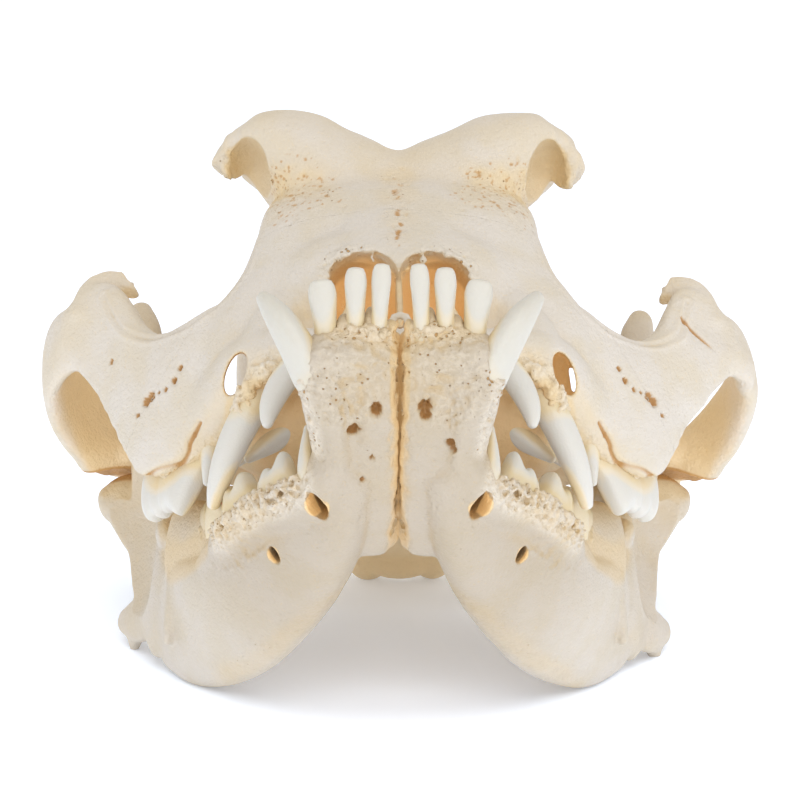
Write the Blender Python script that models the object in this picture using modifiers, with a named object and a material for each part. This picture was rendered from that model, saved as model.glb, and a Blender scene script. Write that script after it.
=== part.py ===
"""Skull of a short-faced dog of the bulldog type, life size, lying nose up on its lower jaw.

The upper skull is modelled in its own frame: origin under the occipital condyles, +Y to the
occiput, +Z to the crown. Each half of the lower jaw is modelled in a frame whose origin is the
axis of its jaw joint. Each finished bone is then turned about X and moved to its place on the
floor. All sizes are in millimetres until a mesh is made. +X is the animal's left.
"""

import math

import bmesh
import bpy
import numpy as np
from mathutils import Matrix

MM = 0.001

# Pose of the bones on the floor
CRANIUM_PITCH = 30.0
JAW_PITCH = 32.0
CRANIUM_SEAT = (0.0, 48.85, 0.0)
JAW_JOINT = (0.0, 14.85, 27.6)

# Driving sizes
ARCH_HALF_WIDTH = 65.6
CONDYLE_RADIUS = 4.8
CONDYLE_DROP = 1.5
FOSSA_CLEARANCE = 0.6
NODE_GAP = 0.35

# Mesh fineness
BONE_VOXEL = 0.9
RING_POINTS = 20
TOOTH_RING = 8


def clear_scene():
    for obj in list(bpy.data.objects):
        bpy.data.objects.remove(obj, do_unlink=True)


def new_collection(name):
    made = bpy.data.collections.new(name)
    bpy.context.scene.collection.children.link(made)
    return made


def smooth_rows(rows, between):
    """Catmull-Rom curve through the rows, with the given number of steps in each span."""
    rows = np.asarray(rows, float)
    padded = np.vstack([2 * rows[0] - rows[1], rows, 2 * rows[-1] - rows[-2]])
    made = []
    for i in range(len(rows) - 1):
        a, b, c, d = padded[i : i + 4]
        for t in np.arange(between) / between:
            made.append(
                0.5 * (2 * b + (c - a) * t + (2 * a - 5 * b + 4 * c - d) * t**2
                       + (3 * b - a - 3 * c + d) * t**3)
            )
    made.append(rows[-1])
    return np.array(made)


def unit(v):
    return v / np.linalg.norm(v)


def add_mesh(name, points, faces):
    mesh = bpy.data.meshes.new(name)
    mesh.from_pydata([tuple(p * MM) for p in points], [], faces)
    obj = bpy.data.objects.new(name, mesh)
    bpy.context.scene.collection.objects.link(obj)
    return obj


def sweep(name, stations, up=(0, 0, 1), axis=None, power=2.0, ring=RING_POINTS, between=3,
          cap=0.8, steps=(0.97, 0.8, 0.45)):
    """A closed body through stations (x, y, z, half width, half height, roll in degrees).

    Each section is a superellipse. It stands square to the path, or to axis if one is given.
    Its height lies along up, turned by the roll, and both ends close in a rounded cap.
    """
    rows = [tuple(s) + (0.0,) * (6 - len(s)) for s in stations]
    rows = smooth_rows(rows, between)
    centres = rows[:, :3]
    tangents = np.gradient(centres, axis=0)
    angles = np.arange(ring) * 2 * math.pi / ring
    cos, sin = np.cos(angles), np.sin(angles)
    across = np.sign(cos) * np.abs(cos) ** (2 / power)
    along = np.sign(sin) * np.abs(sin) ** (2 / power)
    rings = []

    def section(i, shift, scale):
        t = unit(np.array(axis, float) if axis is not None else tangents[i])
        if axis is not None and t @ tangents[i] < 0:
            t = -t
        side = unit(np.cross(t, up))
        rise = np.cross(side, t)
        roll = math.radians(rows[i, 5])
        wide = side * math.cos(roll) + rise * math.sin(roll)
        tall = rise * math.cos(roll) - side * math.sin(roll)
        w, h = rows[i, 3] * scale, rows[i, 4] * scale
        centre = centres[i] + t * shift
        rings.append(centre + np.outer(across * w, wide) + np.outer(along * h, tall))

    reach = [min(rows[i, 3], rows[i, 4]) * cap for i in (0, -1)]
    for s in steps:
        section(0, -reach[0] * s, math.sqrt(1 - s * s))
    for i in range(len(rows)):
        section(i, 0.0, 1.0)
    for s in reversed(steps):
        section(-1, reach[1] * s, math.sqrt(1 - s * s))
    points = np.vstack(rings)
    count = len(rings)
    faces = []
    for i in range(count - 1):
        for j in range(ring):
            k = (j + 1) % ring
            faces.append((i * ring + j, i * ring + k, (i + 1) * ring + k, (i + 1) * ring + j))
    faces.append(tuple(range(ring - 1, -1, -1)))
    faces.append(tuple((count - 1) * ring + j for j in range(ring)))
    obj = add_mesh(name, points, faces)
    face_out(obj.data)
    return obj


def face_out(mesh):
    """Turns every closed shell of the mesh so that its faces point out."""
    bm = bmesh.new()
    bm.from_mesh(mesh)
    bmesh.ops.recalc_face_normals(bm, faces=bm.faces)
    if bm.calc_volume(signed=True) < 0:
        bmesh.ops.reverse_faces(bm, faces=bm.faces)
    bm.to_mesh(mesh)
    bm.free()


def ball(name, centre, radii, tilt=(0, 0, 0), segments=20):
    """An ellipsoid, its radii along X, Y and Z before the tilt in degrees."""
    mesh = bpy.data.meshes.new(name)
    bm = bmesh.new()
    bmesh.ops.create_uvsphere(bm, u_segments=segments, v_segments=segments // 2 + 2, radius=1)
    bm.to_mesh(mesh)
    bm.free()
    obj = bpy.data.objects.new(name, mesh)
    bpy.context.scene.collection.objects.link(obj)
    turn = Matrix.Rotation(math.radians(tilt[2]), 4, "Z") @ Matrix.Rotation(
        math.radians(tilt[1]), 4, "Y"
    ) @ Matrix.Rotation(math.radians(tilt[0]), 4, "X")
    move = Matrix.Translation([c * MM for c in centre])
    mesh.transform(move @ turn @ Matrix.Diagonal([*(r * MM for r in radii), 1]))
    return obj


def mirrored(obj):
    """The same body on the other side of the plane X = 0."""
    mesh = obj.data.copy()
    mesh.transform(Matrix.Diagonal([-1, 1, 1, 1]))
    mesh.flip_normals()
    twin = bpy.data.objects.new(obj.name + "_m", mesh)
    bpy.context.scene.collection.objects.link(twin)
    return twin


def both(objects):
    return list(objects) + [mirrored(o) for o in objects]


def applied(obj):
    """Replaces the object's mesh by what its modifiers make of it."""
    graph = bpy.context.evaluated_depsgraph_get()
    mesh = bpy.data.meshes.new_from_object(obj.evaluated_get(graph))
    obj.modifiers.clear()
    obj.data = mesh
    return obj


def boolean(obj, others, operation, solver="MANIFOLD"):
    """One Boolean with all the others as its operand, applied. The others are removed."""
    group = new_collection("operand")
    for other in others:
        for old in list(other.users_collection):
            old.objects.unlink(other)
        group.objects.link(other)
    modifier = obj.modifiers.new("boolean", "BOOLEAN")
    modifier.operation = operation
    modifier.solver = solver
    modifier.operand_type = "COLLECTION"
    modifier.collection = group
    applied(obj)
    for other in others:
        bpy.data.objects.remove(other, do_unlink=True)
    bpy.data.collections.remove(group)
    return obj


def fused(name, pieces):
    obj = boolean(pieces[0], pieces[1:], "UNION")
    obj.name = name
    return obj


def remeshed(obj, voxel, rounds):
    """The body as one even skin, with its joins rounded by smoothing."""
    remesh = obj.modifiers.new("remesh", "REMESH")
    remesh.mode = "VOXEL"
    remesh.voxel_size = voxel * MM
    smooth = obj.modifiers.new("smooth", "SMOOTH")
    smooth.factor = 0.5
    smooth.iterations = rounds
    return applied(obj)


def thinned(obj, triangles):
    """Collapses the even skin to about this many triangles, which follow its curvature."""
    mesh = obj.data
    mesh.calc_loop_triangles()
    decimate = obj.modifiers.new("decimate", "DECIMATE")
    decimate.ratio = triangles / len(mesh.loop_triangles)
    decimate.use_collapse_triangulate = True
    return applied(obj)


# Upper skull


def braincase():
    vault = sweep("vault", [
        (0, -5, 27, 20, 16), (0, -12, 30, 28, 23), (0, -27, 34.5, 32, 27), (0, -44, 38, 29.5, 26),
        (0, -59, 40.5, 23, 21.5), (0, -72, 42, 19.5, 17),
    ], power=2.2, ring=28)
    base = sweep("skull_base", [
        (0, -5, 9, 10.5, 5), (0, -25, 8, 10, 5.5), (0, -45, 8, 8.5, 6), (0, -64, 9, 8, 7),
    ], power=3)
    crest = sweep("sagittal_crest", [
        (0, -50, 61.5, 1.6, 3), (0, -38, 62.4, 1.4, 4), (0, -20, 61, 1.3, 5), (0, -4, 54, 1.5, 6),
        (0, 1, 49, 2, 5),
    ])
    nuchal = sweep("nuchal_crest", [
        (29, -13, 17, 2.0, 4), (30, -9, 28, 1.8, 4.5), (24, -6, 41, 1.8, 4.5), (12, -1, 49, 1.8, 4.5),
        (0, 2, 52, 2, 5), (-12, -1, 49, 1.8, 4.5), (-24, -6, 41, 1.8, 4.5), (-30, -9, 28, 1.8, 4.5),
        (-29, -13, 17, 2.0, 4),
    ], up=(0, 1, 0))
    side = [
        ball("bulla", (15.5, -24, 5.5), (7.5, 10, 7)),
        sweep("ear_canal", [(18, -27, 9, 4, 4), (27, -29, 11, 5, 4.5)]),
        sweep("occipital_condyle", [
            (6.2, 0, 5.4, 4.6, 5.6), (9, 2.2, 10.6, 4.6, 5.2), (12, 1.5, 16.6, 4, 4.6),
        ], up=(0, 1, 0)),
        sweep("jugular_process", [
            (19, -7, 13, 4, 3.5), (20, -6.5, 6, 2.8, 2.4), (19.5, -7.5, 1, 1.4, 1.4),
        ], up=(0, 1, 0)),
        sweep("mastoid", [(26, -15, 12.6, 4.5, 5.5), (28, -13, 20, 4, 5)], up=(0, 1, 0)),
        sweep("squamosal", [(25, -18, 17, 7, 8), (28.5, -28, 17, 5.4, 7), (28, -38, 18, 6, 7)]),
    ]
    return [vault, base, crest, nuchal] + both(side)


def frontal():
    """The brow: two swellings with a groove between them, drawn out into the eye-socket roofs."""
    half = [
        (0, -76.6, 49.8, 13.9, 13.9), (4.7, -76.4, 50.8, 14.6, 14.6), (9.6, -76, 52, 15.2, 15.8),
        (15, -76, 56, 15.2, 14.8), (21, -76.6, 60.8, 13.6, 11), (26.6, -76.8, 64.5, 11.4, 7.2),
        (30.6, -76.5, 66.2, 8.8, 4),
    ]
    row = [(-x, y, z, w, h) for x, y, z, w, h in reversed(half[1:])] + half
    brow = sweep("brow", row, axis=(1, 0, 0), power=2.3, ring=28, cap=0.5)
    tip = sweep("brow_hook", [
        (27, -77, 66.5, 7.5, 3.6), (31.2, -76, 66, 6.5, 3.2), (33.4, -75.5, 63.2, 4.6, 2.4),
        (33.6, -75, 60.6, 2.8, 1.6),
    ], up=(0, 0.05, 1), cap=0.5)
    ridge = sweep("temporal_line", [
        (27, -70, 65, 4, 4.5), (19, -63, 61, 4.5, 4), (9, -54, 60.4, 3.6, 3.4), (1, -44, 61.6, 2, 3),
    ])
    root = sweep("brow_back", [
        (0, -62, 45, 22, 17), (0, -72, 45, 20.5, 15.5),
    ], power=2.2, ring=28)
    return [brow, root] + both([tip, ridge])


def face_column():
    column = sweep("face_column", [
        (0, -80, 49, 23.4, 9.4), (0, -84.5, 44.5, 24.2, 12), (0, -88.5, 38.5, 25.2, 13.5),
        (0, -91, 31, 28.8, 14), (0, -92.5, 23, 35.4, 14.5), (0, -93, 13, 37.5, 16),
        (0, -93, 5, 35, 16),
    ], power=2.6, ring=32)
    nasals = sweep("nasal_bones", [
        (0, -94, 47, 10, 3.5), (0, -101, 40, 10.5, 3.5), (0, -107, 33.5, 11.5, 3.2),
        (0, -109.5, 30.5, 10.5, 2.6),
    ], power=2.5)
    inner = sweep("nasal_chamber", [
        (0, -58, 24, 12, 17), (0, -72, 26, 14.5, 20), (0, -86, 28, 19, 22), (0, -96, 24, 25, 18),
    ], power=2.4, ring=28)
    return [column, nasals, inner]


def maxilla():
    half = [
        (0, -113.5, 11.4, 4.4, 5), (9, -113.2, 11.4, 4.6, 5), (17.5, -111, 12.4, 5.2, 5.4),
        (25, -105.4, 12, 6.4, 7), (31, -97.4, 8.4, 6.2, 7.2), (36.5, -90, 5.4, 5.6, 6.6),
        (40.2, -82.5, 3.4, 5.4, 6.4), (41.8, -75, 3.2, 4.8, 6), (39.8, -68.6, 4.6, 3.8, 4.8),
    ]
    row = [(-x, y, z, w, h) for x, y, z, w, h in reversed(half[1:])] + half
    arch = sweep("tooth_arch", row, power=2.4)
    palate = sweep("palate", [
        (0, -108, 10, 21, 3), (0, -97, 8.2, 28, 3.2), (0, -80, 6.6, 36, 3.4), (0, -71, 6, 37, 3.2),
        (0, -62, 5.5, 24, 3),
    ], power=3.4, ring=28)
    side = [
        sweep("canine_swelling", [
            (25.2, -107.4, 9.5, 5.8, 5.4), (23.5, -105, 16, 6, 6), (20, -102, 24, 5, 5),
        ], up=(0, 1, 0)),
        sweep("cheek_wall", [(33, -92, 14, 7, 11), (38, -84, 13, 6, 9), (40, -76, 12, 4.5, 6)]),
        sweep("pterygoid", [
            (10, -64, 7, 1.8, 7), (9, -54, 5.5, 1.6, 6.5), (8.5, -47, 3.5, 1.4, 5),
            (8.8, -42, 1, 1.3, 2.5),
        ]),
    ]
    return [arch, palate] + both(side)


def cheek():
    """The cheek bone with the whole arch, from beside the nose back to the jaw joint."""
    plate = sweep("cheek_plate", [
        (25, -98, 15, 4.5, 10.5), (33, -95.5, 13.6, 4.6, 13.6), (42, -89.5, 10.6, 4.2, 13.2),
        (48, -84.8, 11.2, 3.7, 14.8), (51, -82.4, 15.6, 3.3, 16.6), (54, -80, 21, 3, 15.8),
        (57, -78, 25, 2.8, 13.2), (60, -76.2, 27, 2.6, 9.6), (62.8, -74.4, 27.6, 2.4, 5.4),
    ], axis=(0.86, 0.5, 0), power=2.6, cap=0.6)
    blade = sweep("arch_blade", [
        (58, -78, 28, 2.2, 6), (63, -73.6, 27.2, 2.2, 6.6), (ARCH_HALF_WIDTH, -68, 24.6, 2.1, 6.2),
        (ARCH_HALF_WIDTH, -62, 21.6, 2.1, 5.6), (63.8, -55.5, 18.2, 2.3, 5.3),
        (60.4, -49, 15.4, 2.8, 5), (55.5, -43.5, 14.5, 5, 4.4),
    ], power=2.3)
    root = sweep("arch_root", [
        (57, -42.5, 14.6, 5.5, 3.6), (50, -41.5, 14.4, 8, 4), (41, -40, 15, 9, 4.6),
        (32, -38, 18, 10, 7), (24, -37, 23, 10, 9),
    ], power=2.6)
    process = sweep("eye_process", [
        (57.4, -76.6, 33, 2.8, 4.6), (55.6, -74.6, 38.4, 2.7, 3), (52.4, -74.2, 39.6, 2.4, 2.3),
        (49, -74.8, 38.8, 2.2, 2), (47.6, -75.2, 37.4, 1.7, 1.6),
    ], up=(1, 0, 0))
    back_stop = sweep("back_stop", [
        (52, -35.5, 13, 2.4, 5), (45, -35.2, 10, 2.5, 6), (38, -35, 12, 2.5, 6),
    ])
    return both([plate, blade, root, process, back_stop])


def cranium_cutters():
    """Hollows of the upper skull: nose, spinal hole, eye sockets, cheek holes, joint sockets."""
    nose = sweep("nose_cut", [
        (0, -126, 22.6, 12.8, 6.6), (0, -114, 23.2, 12.8, 7.2), (0, -106, 24, 12.4, 7),
    ], power=2.6)
    spine = sweep("spine_cut", [(0, 14, 19, 7, 6.2), (0, -6, 18.5, 7, 6), (0, -16, 20, 5, 5)])
    throat = sweep("throat_cut", [
        (0, -40, 3.0, 6.2, 5.0), (0, -58, 10.5, 6.2, 5.6), (0, -72, 14, 6, 5),
    ])
    side = [
        ball("eye_cut", (38.5, -76, 47.5), (15.5, 20, 14.5), tilt=(-14, 18, 0)),
        sweep("nose_chamber_cut", [
            (6.8, -110, 24.6, 5.2, 7.4), (6.8, -100, 25, 5.4, 7), (6.8, -88, 27, 5, 7),
            (6.4, -74, 26, 4.4, 6),
        ], power=2.6),
        sweep("cheek_hole", [
            (29.5, -114, 8.6, 1.9, 4.2, 18), (30, -97, 13.8, 1.9, 4.2, 18),
            (30.6, -84, 17.8, 2.2, 4.4, 18), (31.2, -66, 23.4, 2.8, 5, 18),
        ]),
        sweep("joint_cut", [
            (34, -43.4, 7.2 - CONDYLE_DROP, CONDYLE_RADIUS + FOSSA_CLEARANCE,
             CONDYLE_RADIUS + FOSSA_CLEARANCE),
            (62, -43.4, 7.2 - CONDYLE_DROP, CONDYLE_RADIUS + FOSSA_CLEARANCE,
             CONDYLE_RADIUS + FOSSA_CLEARANCE),
        ]),
    ]
    return [nose, spine, throat] + both(side)


# Lower jaw, the half at +X


def jaw_bone():
    chin = sweep("chin", [
        (8, -103.5, -7.5, 7.7, 3.6), (8.8, -97, -11.5, 8.5, 5), (7.9, -88.5, -17.5, 7.6, 6.2),
        (7.8, -78, -23.5, 7.5, 6.6), (8, -68, -28, 7.6, 6.4),
    ], power=4.5)
    body = sweep("jaw_body", [
        (9.5, -84, -22, 6, 7, -20), (13.5, -72, -29, 6.2, 8.6, -32), (19.5, -60, -33.4, 6.2, 10.4, -36),
        (26, -48, -36, 6.2, 11.6, -36), (32, -35, -35.6, 6, 12.4, -30), (37.5, -24, -33, 5.4, 12.6, -18),
        (42, -15, -29, 4.2, 11, -10),
    ], power=2.3)
    ledge = sweep("tooth_ledge", [
        (13, -99, -12.2, 4.6, 4.2), (12, -91, -18.6, 4.2, 4.6), (15, -81, -25, 4.4, 4.8),
        (21, -70, -26, 4.6, 4.8), (27.6, -59, -26.2, 4.8, 4.8), (33, -48, -26.4, 4.6, 4.8),
        (37.4, -37, -26, 4.2, 4.6), (40.6, -28, -24.6, 3.4, 4),
    ], power=2.3)
    lean = (0.37, 0.93, 0)
    ramus = sweep("ramus", [
        (43.4, -15.5, -31.5, 3.4, 8.6), (45.6, -12.6, -24, 3, 10.4), (47.2, -9.8, -12, 2.6, 9.8),
        (47.8, -11.4, -1, 2.4, 7.6), (48.2, -14.6, 9, 2.2, 6.4), (49, -14, 19, 2, 5.8),
        (49.6, -11.4, 27, 2.2, 4.8), (49.8, -9.6, 33.4, 2.1, 3.2),
    ], up=lean, power=2.4, cap=0.5)
    ridge = sweep("front_ridge", [
        (42.6, -18.5, -12, 1.6, 1.6), (43.2, -22, -22, 1.9, 1.9), (43, -25.5, -33, 2.2, 2.2),
    ], up=(0, 1, 0))
    condyle = sweep("jaw_condyle", [
        (42, 0, -2.4, 3.4, 3.4), (46, 0, -CONDYLE_DROP, CONDYLE_RADIUS, CONDYLE_RADIUS),
        (52, 0, -CONDYLE_DROP, CONDYLE_RADIUS, CONDYLE_RADIUS), (56, 0.4, -2.6, 3.6, 3.6),
    ], cap=0.6)
    neck = sweep("condyle_neck", [
        (50.5, -1, -4, 3.6, 5), (49.6, -3, -11, 3, 5), (49.4, -4, -20, 2.6, 5),
    ], up=(0, 1, 0))
    hook = sweep("angle_hook", [
        (46.5, -9, -27, 2.6, 5), (49.8, -2, -26.4, 2.6, 4.6), (52.2, 3.4, -25.2, 2.2, 2.8),
    ])
    prong = sweep("angle_prong", [
        (49.5, -3, -26.5, 2.6, 2.4), (50.6, 1, -29.2, 1.7, 1.6), (50.9, 3, -30.6, 1.1, 1.1),
    ])
    return [chin, body, ledge, ramus, ridge, condyle, neck, hook, prong]


def jaw_cutters():
    return [
        ball("chewing_hollow", (56.2, -13, -13), (9.6, 11, 18), tilt=(0, 0, -20)),
        sweep("chin_hole_big", [(15.4, -87, -33.4, 1.7, 2.8, -15), (12.4, -72, -23.6, 1.7, 2.8, -15)]),
        sweep("chin_hole_rear", [(24.6, -74, -37.4, 1.3, 2.0, -25), (19.6, -60, -28.8, 1.3, 2.0, -25)]),
    ]


# Teeth

# Crown shapes as (place along the tooth, half length in the row, half thickness), the place
# being 0 at the gum line and 1 at the tip. A size scales both half sizes.
CROWNS = {
    "incisor": [(-0.7, 1.0, 1.2), (0, 1.3, 1.6), (0.4, 1.7, 1.5), (0.8, 1.6, 1.0), (0.94, 1.2, 0.6)],
    "canine": [(-0.4, 2.4, 2.0), (0, 3.1, 2.5), (0.35, 3.0, 2.4), (0.7, 2.3, 1.9), (0.93, 1.3, 1.1)],
    "cusp": [(-0.7, 2.2, 1.3), (0, 3.0, 1.8), (0.35, 2.5, 1.7), (0.7, 1.4, 1.1), (0.93, 0.6, 0.5)],
    "table": [(-1.0, 3.4, 3.2), (0, 4.3, 4.4), (0.5, 4.3, 4.6), (0.9, 3.2, 3.5)],
}
TOOTH_SIZES = {"tiny": 0.75, "small": 1.1, "medium": 1.3, "large": 1.7, "great": 2.0}
ROW_WAYS = {
    "front": (1, 0, 0), "upper corner": (0.7, 0.7, 0), "upper cheek": (0.35, 0.94, 0),
    "lower corner": (0.6, 0.8, 0), "lower cheek": (0.45, 0.86, 0.1),
}

# The teeth of one side: crown, size, way of the row, base, tip, and the bow of a bent one
UPPER_TEETH = [
    ("incisor", "small", "front", (3, -117, 7.6), (3, -119, 0.6)),
    ("incisor", "medium", "front", (8.8, -116.8, 7.6), (9, -118.8, 0.2)),
    ("incisor", "large", "upper corner", (18.2, -114.6, 9), (23, -117.4, -2.6), (1.4, 0, 0)),
    ("canine", "medium", "upper cheek", (25, -107.8, 6), (33.4, -104.4, -14), (1, -2.2, 0)),
    ("cusp", "small", "upper cheek", (23, -97.6, 4), (28, -99.4, -3.6)),
    ("cusp", "small", "upper cheek", (32.6, -95.4, 1.6), (33.2, -96, -4.4)),
    ("cusp", "medium", "upper cheek", (36.6, -89.4, 0.8), (37.2, -89.8, -5.8)),
    ("cusp", "great", "upper cheek", (40, -83.4, -0.6), (40.6, -85, -11)),
    ("cusp", "large", "upper cheek", (42, -78.8, -0.6), (42.8, -78.6, -8)),
    ("table", "small", "upper cheek", (41.2, -72.6, 1), (41.8, -72.8, -4.6)),
    ("cusp", "small", "upper cheek", (44.8, -74.4, -2), (45.4, -74.6, -8.6)),
    ("cusp", "small", "upper cheek", (44.8, -70, -2), (45.2, -70, -7.4)),
    ("table", "tiny", "upper cheek", (40, -67.2, 1), (40.4, -67.2, -4.6)),
]
LOWER_TEETH = [
    ("incisor", "small", "front", (3.4, -104.6, -5), (3.3, -111, 4.4)),
    ("incisor", "medium", "front", (7.4, -104, -4.6), (7.4, -110.5, 4)),
    ("incisor", "large", "front", (12, -103, -5.4), (13.2, -109.4, 2.4)),
    ("canine", "medium", "lower corner", (15, -99.6, -12), (24.4, -104, 2), (-0.4, -2.4, 0)),
    ("cusp", "tiny", "lower cheek", (13.8, -90, -16.6), (14, -91, -12.6)),
    ("cusp", "medium", "lower cheek", (16, -82, -22.6), (16.8, -84, -15.4)),
    ("cusp", "medium", "lower cheek", (21, -73.4, -23.6), (22, -75.4, -17)),
    ("cusp", "great", "lower cheek", (27, -63.6, -24), (27.4, -64.8, -17.6)),
    ("cusp", "great", "lower cheek", (32, -55.4, -24), (32.4, -56.4, -18)),
    ("cusp", "great", "lower cheek", (34, -50.4, -24), (34, -50.8, -16.6)),
    ("cusp", "large", "lower cheek", (36, -44.6, -23.6), (36, -44.6, -19)),
    ("table", "tiny", "lower cheek", (38.2, -37.8, -23), (38.2, -37.8, -18.6)),
    ("cusp", "tiny", "lower cheek", (40.2, -31.6, -21.6), (40.2, -31.6, -18.8)),
]


def tooth(kind, size, row, base, tip, bow=(0, 0, 0)):
    """One tooth from its root to its tip. bow bends its middle."""
    base, tip, bow = (np.array(v, float) for v in (base, tip, bow))
    scale = TOOTH_SIZES[size]
    stations = []
    for place, length, thickness in CROWNS[kind]:
        bend = bow * (1 - (2 * place - 1) ** 2)
        centre = base + (tip - base) * place + bend
        stations.append((*centre, thickness * scale, length * scale))
    return sweep(kind, stations, up=ROW_WAYS[row], ring=TOOTH_RING, between=1, cap=0.7,
                 steps=(0.8,))


def teeth_of(table):
    return [tooth(*entry) for entry in table]


def fused_teeth(bone, teeth):
    """Joins the teeth to their bone, in which their roots are sunk."""
    boolean(bone, teeth, "UNION")
    return largest_surface(bone)


# The upper skull is parted into its bones by thin cuts


def slab(name, centre, size, tilt):
    """A thin flat cutter, its thickness along its own X before the tilt in degrees."""
    mesh = bpy.data.meshes.new(name)
    bm = bmesh.new()
    bmesh.ops.create_cube(bm, size=1)
    bm.to_mesh(mesh)
    bm.free()
    obj = bpy.data.objects.new(name, mesh)
    bpy.context.scene.collection.objects.link(obj)
    turn = Matrix.Rotation(math.radians(tilt[2]), 4, "Z") @ Matrix.Rotation(
        math.radians(tilt[1]), 4, "Y"
    )
    scale = Matrix.Diagonal([NODE_GAP * MM, size[0] * MM, size[1] * MM, 1])
    mesh.transform(Matrix.Translation([c * MM for c in centre]) @ turn @ scale)
    return obj


def seam_cuts():
    """Slabs at the seams: crown, brow to snout, and both ends of each cheek bone."""
    return [
        slab("crown_seam", (0, -61, 40), (66, 90), (0, 0, 90)),
        slab("brow_seam", (0, -80, 32.5), (64, 52), (0, -62, 90)),
    ] + both([
        slab("cheek_seam", (44.7, -86, 11.5), (56, 42), (0, -35, 8)),
        slab("arch_seam", (64.4, -57, 18.8), (18, 26), (0, 24, 107)),
    ])


def surfaces(bm):
    """The closed surfaces of a mesh, each as a set of its faces."""
    left = set(bm.faces)
    found = []
    while left:
        first = left.pop()
        island, edge = {first}, [first]
        while edge:
            for e in edge.pop().edges:
                for other in e.link_faces:
                    if other in left:
                        left.discard(other)
                        island.add(other)
                        edge.append(other)
        found.append(island)
    return found


def kept_surface(obj, choose):
    """Keeps the one closed surface for which choose gives the largest value."""
    bm = bmesh.new()
    bm.from_mesh(obj.data)
    islands = sorted(surfaces(bm), key=choose)
    for faces in islands[:-1]:
        bmesh.ops.delete(bm, geom=list(faces), context="FACES")
    loose = [v for v in bm.verts if not v.link_faces]
    bmesh.ops.delete(bm, geom=loose, context="VERTS")
    bm.to_mesh(obj.data)
    bm.free()
    return obj


def largest_surface(obj):
    return kept_surface(obj, lambda faces: sum(f.calc_area() for f in faces))


def surface_at(obj, name, place):
    """A copy of the body that keeps only the large closed surface nearest to a place."""
    near = [c * MM for c in place]
    copy = bpy.data.objects.new(name, obj.data.copy())
    bpy.context.scene.collection.objects.link(copy)

    def closeness(faces):
        if len(faces) < 60:
            return -1
        return -min((v.co.x - near[0]) ** 2 + (v.co.y - near[1]) ** 2 + (v.co.z - near[2]) ** 2
                    for f in faces for v in f.verts)

    return kept_surface(copy, closeness)


SKULL_BONES = {
    "braincase": (0, -30, 64),
    "brow": (0, -88, 60),
    "snout": (0, -110, 8),
    "cheek_left": (58, -80, 28),
    "cheek_right": (-58, -80, 28),
}


def bone_material(name, colour):
    made = bpy.data.materials.new(name)
    made.use_nodes = True
    shader = made.node_tree.nodes["Principled BSDF"]
    shader.inputs["Base Color"].default_value = (*colour, 1)
    shader.inputs["Roughness"].default_value = 0.6
    return made


def posed(obj, location, pitch):
    """Turns the finished bone about X into its pose and moves it to its place on the floor."""
    turn = Matrix.Rotation(-math.radians(pitch), 4, "X")
    obj.data.transform(Matrix.Translation([c * MM for c in location]) @ turn)
    return obj


def seated(obj):
    """Trims the bone at the floor, so that it stands on a small flat."""
    boolean(obj, [slab_below()], "DIFFERENCE")
    return largest_surface(obj)


def slab_below():
    """A block whose top is the floor."""
    block = slab("floor_block", (0, 0, -10), (400, 20), (0, 0, 0))
    block.data.transform(Matrix.Diagonal([400 / NODE_GAP, 1, 1, 1]))
    return block


def main():
    clear_scene()
    model = new_collection("dog_skull")
    bones = {}

    cranium = fused("cranium", braincase() + frontal() + face_column() + maxilla() + cheek())
    remeshed(cranium, BONE_VOXEL, 4)
    boolean(cranium, cranium_cutters(), "DIFFERENCE")
    remeshed(cranium, BONE_VOXEL, 3)
    largest_surface(cranium)
    thinned(cranium, 6600)
    boolean(cranium, seam_cuts(), "DIFFERENCE")
    for name, place in SKULL_BONES.items():
        bones[name] = surface_at(cranium, name, place)
    bpy.data.objects.remove(cranium, do_unlink=True)
    fused_teeth(bones["snout"], both(teeth_of(UPPER_TEETH)))
    for bone in bones.values():
        posed(bone, CRANIUM_SEAT, CRANIUM_PITCH)

    jaw = fused("jaw_left", jaw_bone())
    remeshed(jaw, BONE_VOXEL, 3)
    boolean(jaw, jaw_cutters(), "DIFFERENCE")
    remeshed(jaw, BONE_VOXEL, 2)
    largest_surface(jaw)
    thinned(jaw, 1500)
    fused_teeth(jaw, teeth_of(LOWER_TEETH))
    other = mirrored(jaw)
    for name, half in (("jaw_left", jaw), ("jaw_right", other)):
        half.name = name
        bones[name] = posed(half, JAW_JOINT, JAW_PITCH)

    for name, bone in bones.items():
        if name not in ("brow", "snout", "cheek_left", "cheek_right"):
            seated(bone)
        bone.name = name
        bone.data.materials.clear()
        bone.data.materials.append(bone_material(name + "_bone", (0.80, 0.71, 0.56)))
        for old in list(bone.users_collection):
            old.objects.unlink(bone)
        model.objects.link(bone)


main()
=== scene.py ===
import math

import bmesh
import bpy
import numpy as np
from mathutils import Matrix, Vector
from mathutils.bvhtree import BVHTree


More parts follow.
